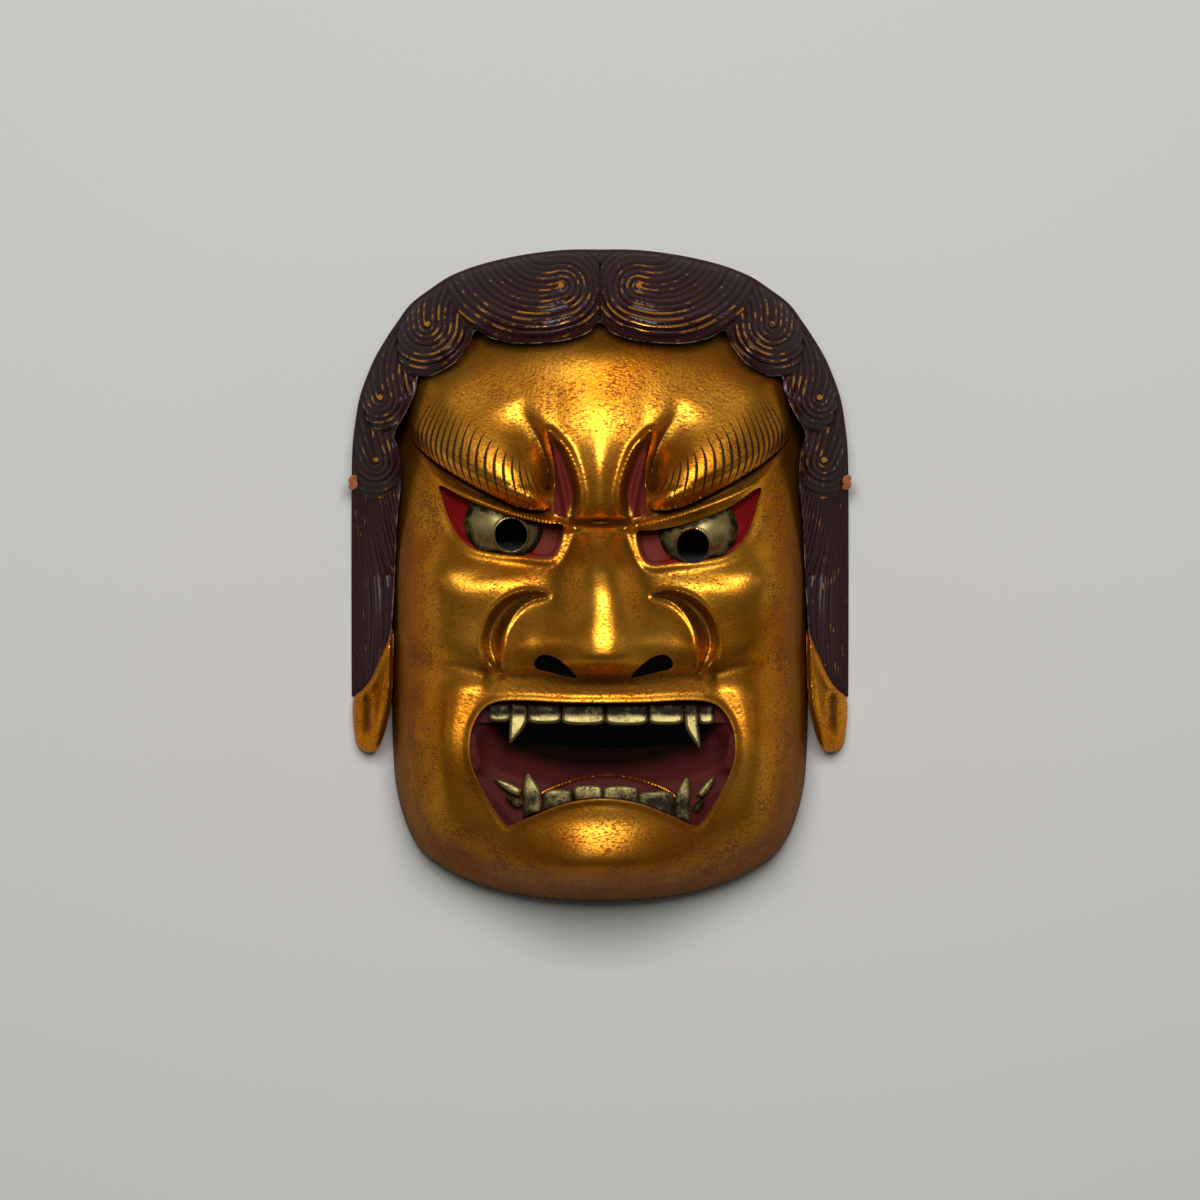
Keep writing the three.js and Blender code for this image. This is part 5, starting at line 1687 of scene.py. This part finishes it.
# %% Bare wood
# Wood grain runs up the mask, about 1.6 mm from one dark line to the next.
grain = add(t, "Mapping", Vector=place, Scale=(1, 0.12, 1))
fibre = add(t, "TexNoise", Vector=grain, Scale=per_mm(1.6), Detail=4.0)
wood = add(t, "Mix", data_type="RGBA", socket_0=fibre, socket_6=linear("#1c110b"), socket_7=linear("#4a2d1b"))
whole = add(t, "Mix", data_type="RGBA", socket_0=back, socket_6=lacquered.outputs[2],
            socket_7=wood.outputs[2])
print("with the wood:", len(t.nodes), "nodes")

# %% Shine of the face
half_worn = add(t, "Math", operation="MULTIPLY", socket_0=worn, socket_1=0.6)
bare = add(t, "Math", operation="MAXIMUM", socket_0=red, socket_1=back)
bare = add(t, "Math", operation="MAXIMUM", socket_0=bare, socket_1=stroke)
bare = add(t, "Math", operation="MAXIMUM", socket_0=bare, socket_1=half_worn)
metal = add(t, "MapRange", Value=bare, To_Min=0.95, To_Max=0.0)
tarnish = add(t, "MapRange", Value=rim_age_and_shade, From_Max=0.86, To_Min=1.0, To_Max=0.75)
metal = add(t, "Math", operation="MULTIPLY", socket_0=metal, socket_1=tarnish)
rough = add(t, "MapRange", Value=bare, To_Min=0.37, To_Max=0.6)
rough = add(t, "Math", operation="MULTIPLY_ADD", socket_0=rim_age_and_shade, socket_1=0.2, socket_2=rough)
rough = add(t, "Math", operation="MULTIPLY_ADD", socket_0=deep_shade, socket_1=0.4, socket_2=rough)
# The leaf has a fine skin of brush marks, and the gouge left hollows 9 mm apart behind it.
skin = add(t, "TexNoise", Vector=place, Scale=per_mm(1.1), Detail=4.0)
gouge = add(t, "TexVoronoi", Vector=place, Scale=per_mm(9), feature="SMOOTH_F1")
tooled = add(t, "Mix", data_type="FLOAT", socket_0=back, socket_2=skin, socket_3=gouge)
bump = add(t, "Bump", Height=tooled.outputs[0], Strength=0.8, Distance=0.12 * MM)
shader = add(t, "BsdfPrincipled", Base_Color=whole.outputs[2], Metallic=metal, Roughness=rough, Normal=bump,
             Specular_IOR_Level=0.2, Specular_Tint=linear("#e0bc95"))
add(t, "OutputMaterial", Surface=shader)
print("the gilded block's material has", len(t.nodes), "nodes")

# %% [markdown]
# ## Dark lacquer on the hair
# The hair is brushed with dark purple-brown lacquer, glossy where it stands proud; its grooves are
# painted nearly black, a painted shade. Gold powder was rubbed over the ridges, most on the curls
# and on the lowest strands, and has worn into broken lines. The mesh says where a ridge is, and a
# noise breaks it up. A pale line along the hair's lower hem is a painted highlight.

# %% Hair lacquer
material_hair, t = new_material("dark_lacquer_rubbed_with_gold")
place = add(t, "TexCoord").outputs["Object"]
strand, rub, hem_highlight, steep = (
    add(t, "Attribute", attribute_name=name).outputs["Fac"]
    for name in ("strand", "rub", "hem_highlight", "steep"))
patch = add(t, "TexNoise", Vector=place, Scale=per_mm(5.5), Detail=6.0, Roughness=0.62)
ridge = add(t, "MapRange", Value=strand, From_Min=0.9, From_Max=0.98)
reach = add(t, "Math", operation="MULTIPLY_ADD", socket_0=rub, socket_1=0.155, socket_2=patch)
touched = add(t, "MapRange", Value=reach, From_Min=0.6, From_Max=0.68)
rubbed = add(t, "Math", operation="MULTIPLY", socket_0=ridge, socket_1=touched)
# Nearly black in the grooves and lighter on the strands' backs: painted shade.
dark = add(t, "Mix", data_type="RGBA", socket_0=strand, socket_6=linear("#0c0506"),
           socket_7=linear("#37191b"))
tone = add(t, "Mix", data_type="RGBA", socket_0=rubbed, socket_6=dark.outputs[2], socket_7=linear("#d8922a"))
# A broken pale line along the hair's lower hem: painted highlight.
broken = add(t, "MapRange", Value=patch, From_Min=0.45, From_Max=0.65, To_Max=0.5)
broken_hem_highlight = add(t, "Math", operation="MULTIPLY", socket_0=hem_highlight, socket_1=broken)
tone = add(t, "Mix", data_type="RGBA", socket_0=broken_hem_highlight, socket_6=tone.outputs[2], socket_7=linear("#c9b08c"))
metal = add(t, "Math", operation="MULTIPLY", socket_0=rubbed, socket_1=0.85)
# Hands polish the front, and dust settles on the steep crown and sides.
rough = add(t, "MapRange", Value=steep, To_Min=0.25, To_Max=0.8)
skin = add(t, "TexNoise", Vector=place, Scale=per_mm(1.4), Detail=3.0)
bump = add(t, "Bump", Height=skin, Strength=0.35, Distance=0.08 * MM)
shader = add(t, "BsdfPrincipled", Base_Color=tone.outputs[2], Metallic=metal, Roughness=rough, Normal=bump,
             Specular_IOR_Level=0.22)
add(t, "OutputMaterial", Surface=shader)
print("the hair's material has", len(t.nodes), "nodes")

# %% [markdown]
# ## Beaten brass
# Eyes and teeth are thin brass sheet, beaten over a form and set into the wood. Brass greys to
# olive, and the patina turns nearly black along the edges, where no polishing cloth reaches. The
# eyeballs' dark rim is also painted shade, the upper teeth's dark tops are painted shadow of the lip,
# and the clean ring round each pupil is a painted highlight. The bright middle and the dark rim give
# the eyes their stare.

# %% Brass
material_brass, t = new_material("beaten_aged_brass")
place = add(t, "TexCoord").outputs["Object"]
edge = add(t, "Attribute", attribute_name="edge").outputs["Fac"]
stain = add(t, "TexNoise", Vector=place, Scale=per_mm(3.2), Detail=5.0, Roughness=0.55)
pits = add(t, "TexNoise", Vector=place, Scale=per_mm(0.9), Detail=4.0, Roughness=0.6)
pits = add(t, "MapRange", Value=pits, From_Min=0.56, From_Max=0.66, To_Max=0.22)
stain_half = add(t, "Math", operation="MULTIPLY_ADD", socket_0=stain, socket_1=0.55, socket_2=0.22)
# The edge note brings patina, painted shade and painted shadow; the stain varies the tone at random.
age_and_shade = add(t, "Math", operation="MULTIPLY_ADD", socket_0=edge, socket_1=0.42, socket_2=stain_half)
age_and_shade = add(t, "Math", operation="ADD", socket_0=age_and_shade, socket_1=pits)
age_and_shade = add(t, "MapRange", Value=age_and_shade, From_Min=0.46, From_Max=0.92)
tone = add(t, "Mix", data_type="RGBA", socket_0=age_and_shade, socket_6=linear("#bdaa6e"), socket_7=linear("#221a0e"))
metal = add(t, "MapRange", Value=age_and_shade, To_Min=1.0, To_Max=0.3)
rough = add(t, "MapRange", Value=age_and_shade, To_Min=0.36, To_Max=0.55)
bump = add(t, "Bump", Height=stain, Strength=0.4, Distance=0.12 * MM)
shader = add(t, "BsdfPrincipled", Base_Color=tone.outputs[2], Metallic=metal, Roughness=rough, Normal=bump,
             Specular_IOR_Level=0.1)
add(t, "OutputMaterial", Surface=shader)
print("the brass has", len(t.nodes), "nodes")

# %% [markdown]
# ## Silk
# The cord is twisted silk, once vermilion, now faded to a dull orange. Silk scatters light along
# its fibres, which a little sheen over a rough surface gives.

# %% Silk
material_silk, t = new_material("twisted_faded_silk")
place = add(t, "TexCoord").outputs["Object"]
fade = add(t, "TexNoise", Vector=place, Scale=per_mm(3), Detail=4.0)
tone = add(t, "Mix", data_type="RGBA", socket_0=fade, socket_6=linear("#8f3a16"), socket_7=linear("#c8722c"))
shader = add(t, "BsdfPrincipled", Base_Color=tone.outputs[2], Roughness=0.75, Sheen_Weight=0.3)
add(t, "OutputMaterial", Surface=shader)
print("the silk has", len(t.nodes), "nodes")

# %% [markdown]
# ## Dress the pieces
# Every piece now gets its finish. It also says which part of the object it belongs to and which of
# the plain solids it stands for, so that the two never show at once. The hair, the face and the
# lobes together stand for the one carved block.

# %% Dress the pieces
def dress(piece, material, slot, *nodes):
    piece.data.materials.clear()
    piece.data.materials.append(material)
    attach(piece, "root")
    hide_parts(*nodes)


for piece in (carved_face, *ears.values()):
    dress(piece, material_gold, "gilt_lacquer", "mask")
for piece in hair.values():
    dress(piece, material_hair, "gilt_lacquer", "mask")
for side in ("left", "right"):
    dress(eyes[side], material_brass, "aged_brass", f"eye_{side}")
    dress(knots[side], material_silk, "orange_cord", f"cord_knot_{side}")
for name, tooth in teeth.items():
    dress(tooth, material_brass, "aged_brass", name)
dress(cord, material_silk, "orange_cord", "hanging_cord")
print("dressed", len(shaded) + len(knots) + 1, "pieces")

# %% [markdown]
# ## Floor and light
# The mask lies on a plain pale floor. One large soft light stands beyond the crown, as in the
# photograph, and two weak ones keep the sides readable.

# %% Floor
FLOOR_HALF = 3
bm = bmesh.new()
bmesh.ops.create_grid(bm, x_segments=1, y_segments=1, size=FLOOR_HALF)
floor = new_piece("floor", bm)
material_floor, t = new_material("pale_paper")
shader = add(t, "BsdfPrincipled", Base_Color=linear("#dcdad6"), Roughness=0.9)
add(t, "OutputMaterial", Surface=shader)
floor.data.materials.append(material_floor)
print("floor", 2 * FLOOR_HALF, "m wide")

# %% Light
def softbox(name, spot, wide, tall, power):
    """a rectangular lamp that faces the mask"""
    light = bpy.data.lights.new(name, "AREA")
    light.shape = "RECTANGLE"
    light.size, light.size_y, light.energy = wide, tall, power
    holder = bpy.data.objects.new(name, light)
    holder.location = spot
    holder.rotation_euler = (-holder.location).to_track_quat("-Z", "Y").to_euler()
    bpy.context.scene.collection.objects.link(holder)


softbox("window", (0.0, 0.44, 1.5), 0.8, 0.55, 19)
softbox("fill_left", (-1.2, 0.1, 0.8), 0.4, 0.7, 0.5)
softbox("fill_right", (1.2, 0.1, 0.8), 0.4, 0.7, 0.5)
world = bpy.data.worlds.new("studio")
bpy.context.scene.world = world
world.use_nodes = True
world.node_tree.nodes["Background"].inputs["Color"].default_value = linear("#c8c4c0")
world.node_tree.nodes["Background"].inputs["Strength"].default_value = 0.07
bpy.context.scene.view_settings.view_transform = "Standard"
print("lights", len(bpy.data.lights))
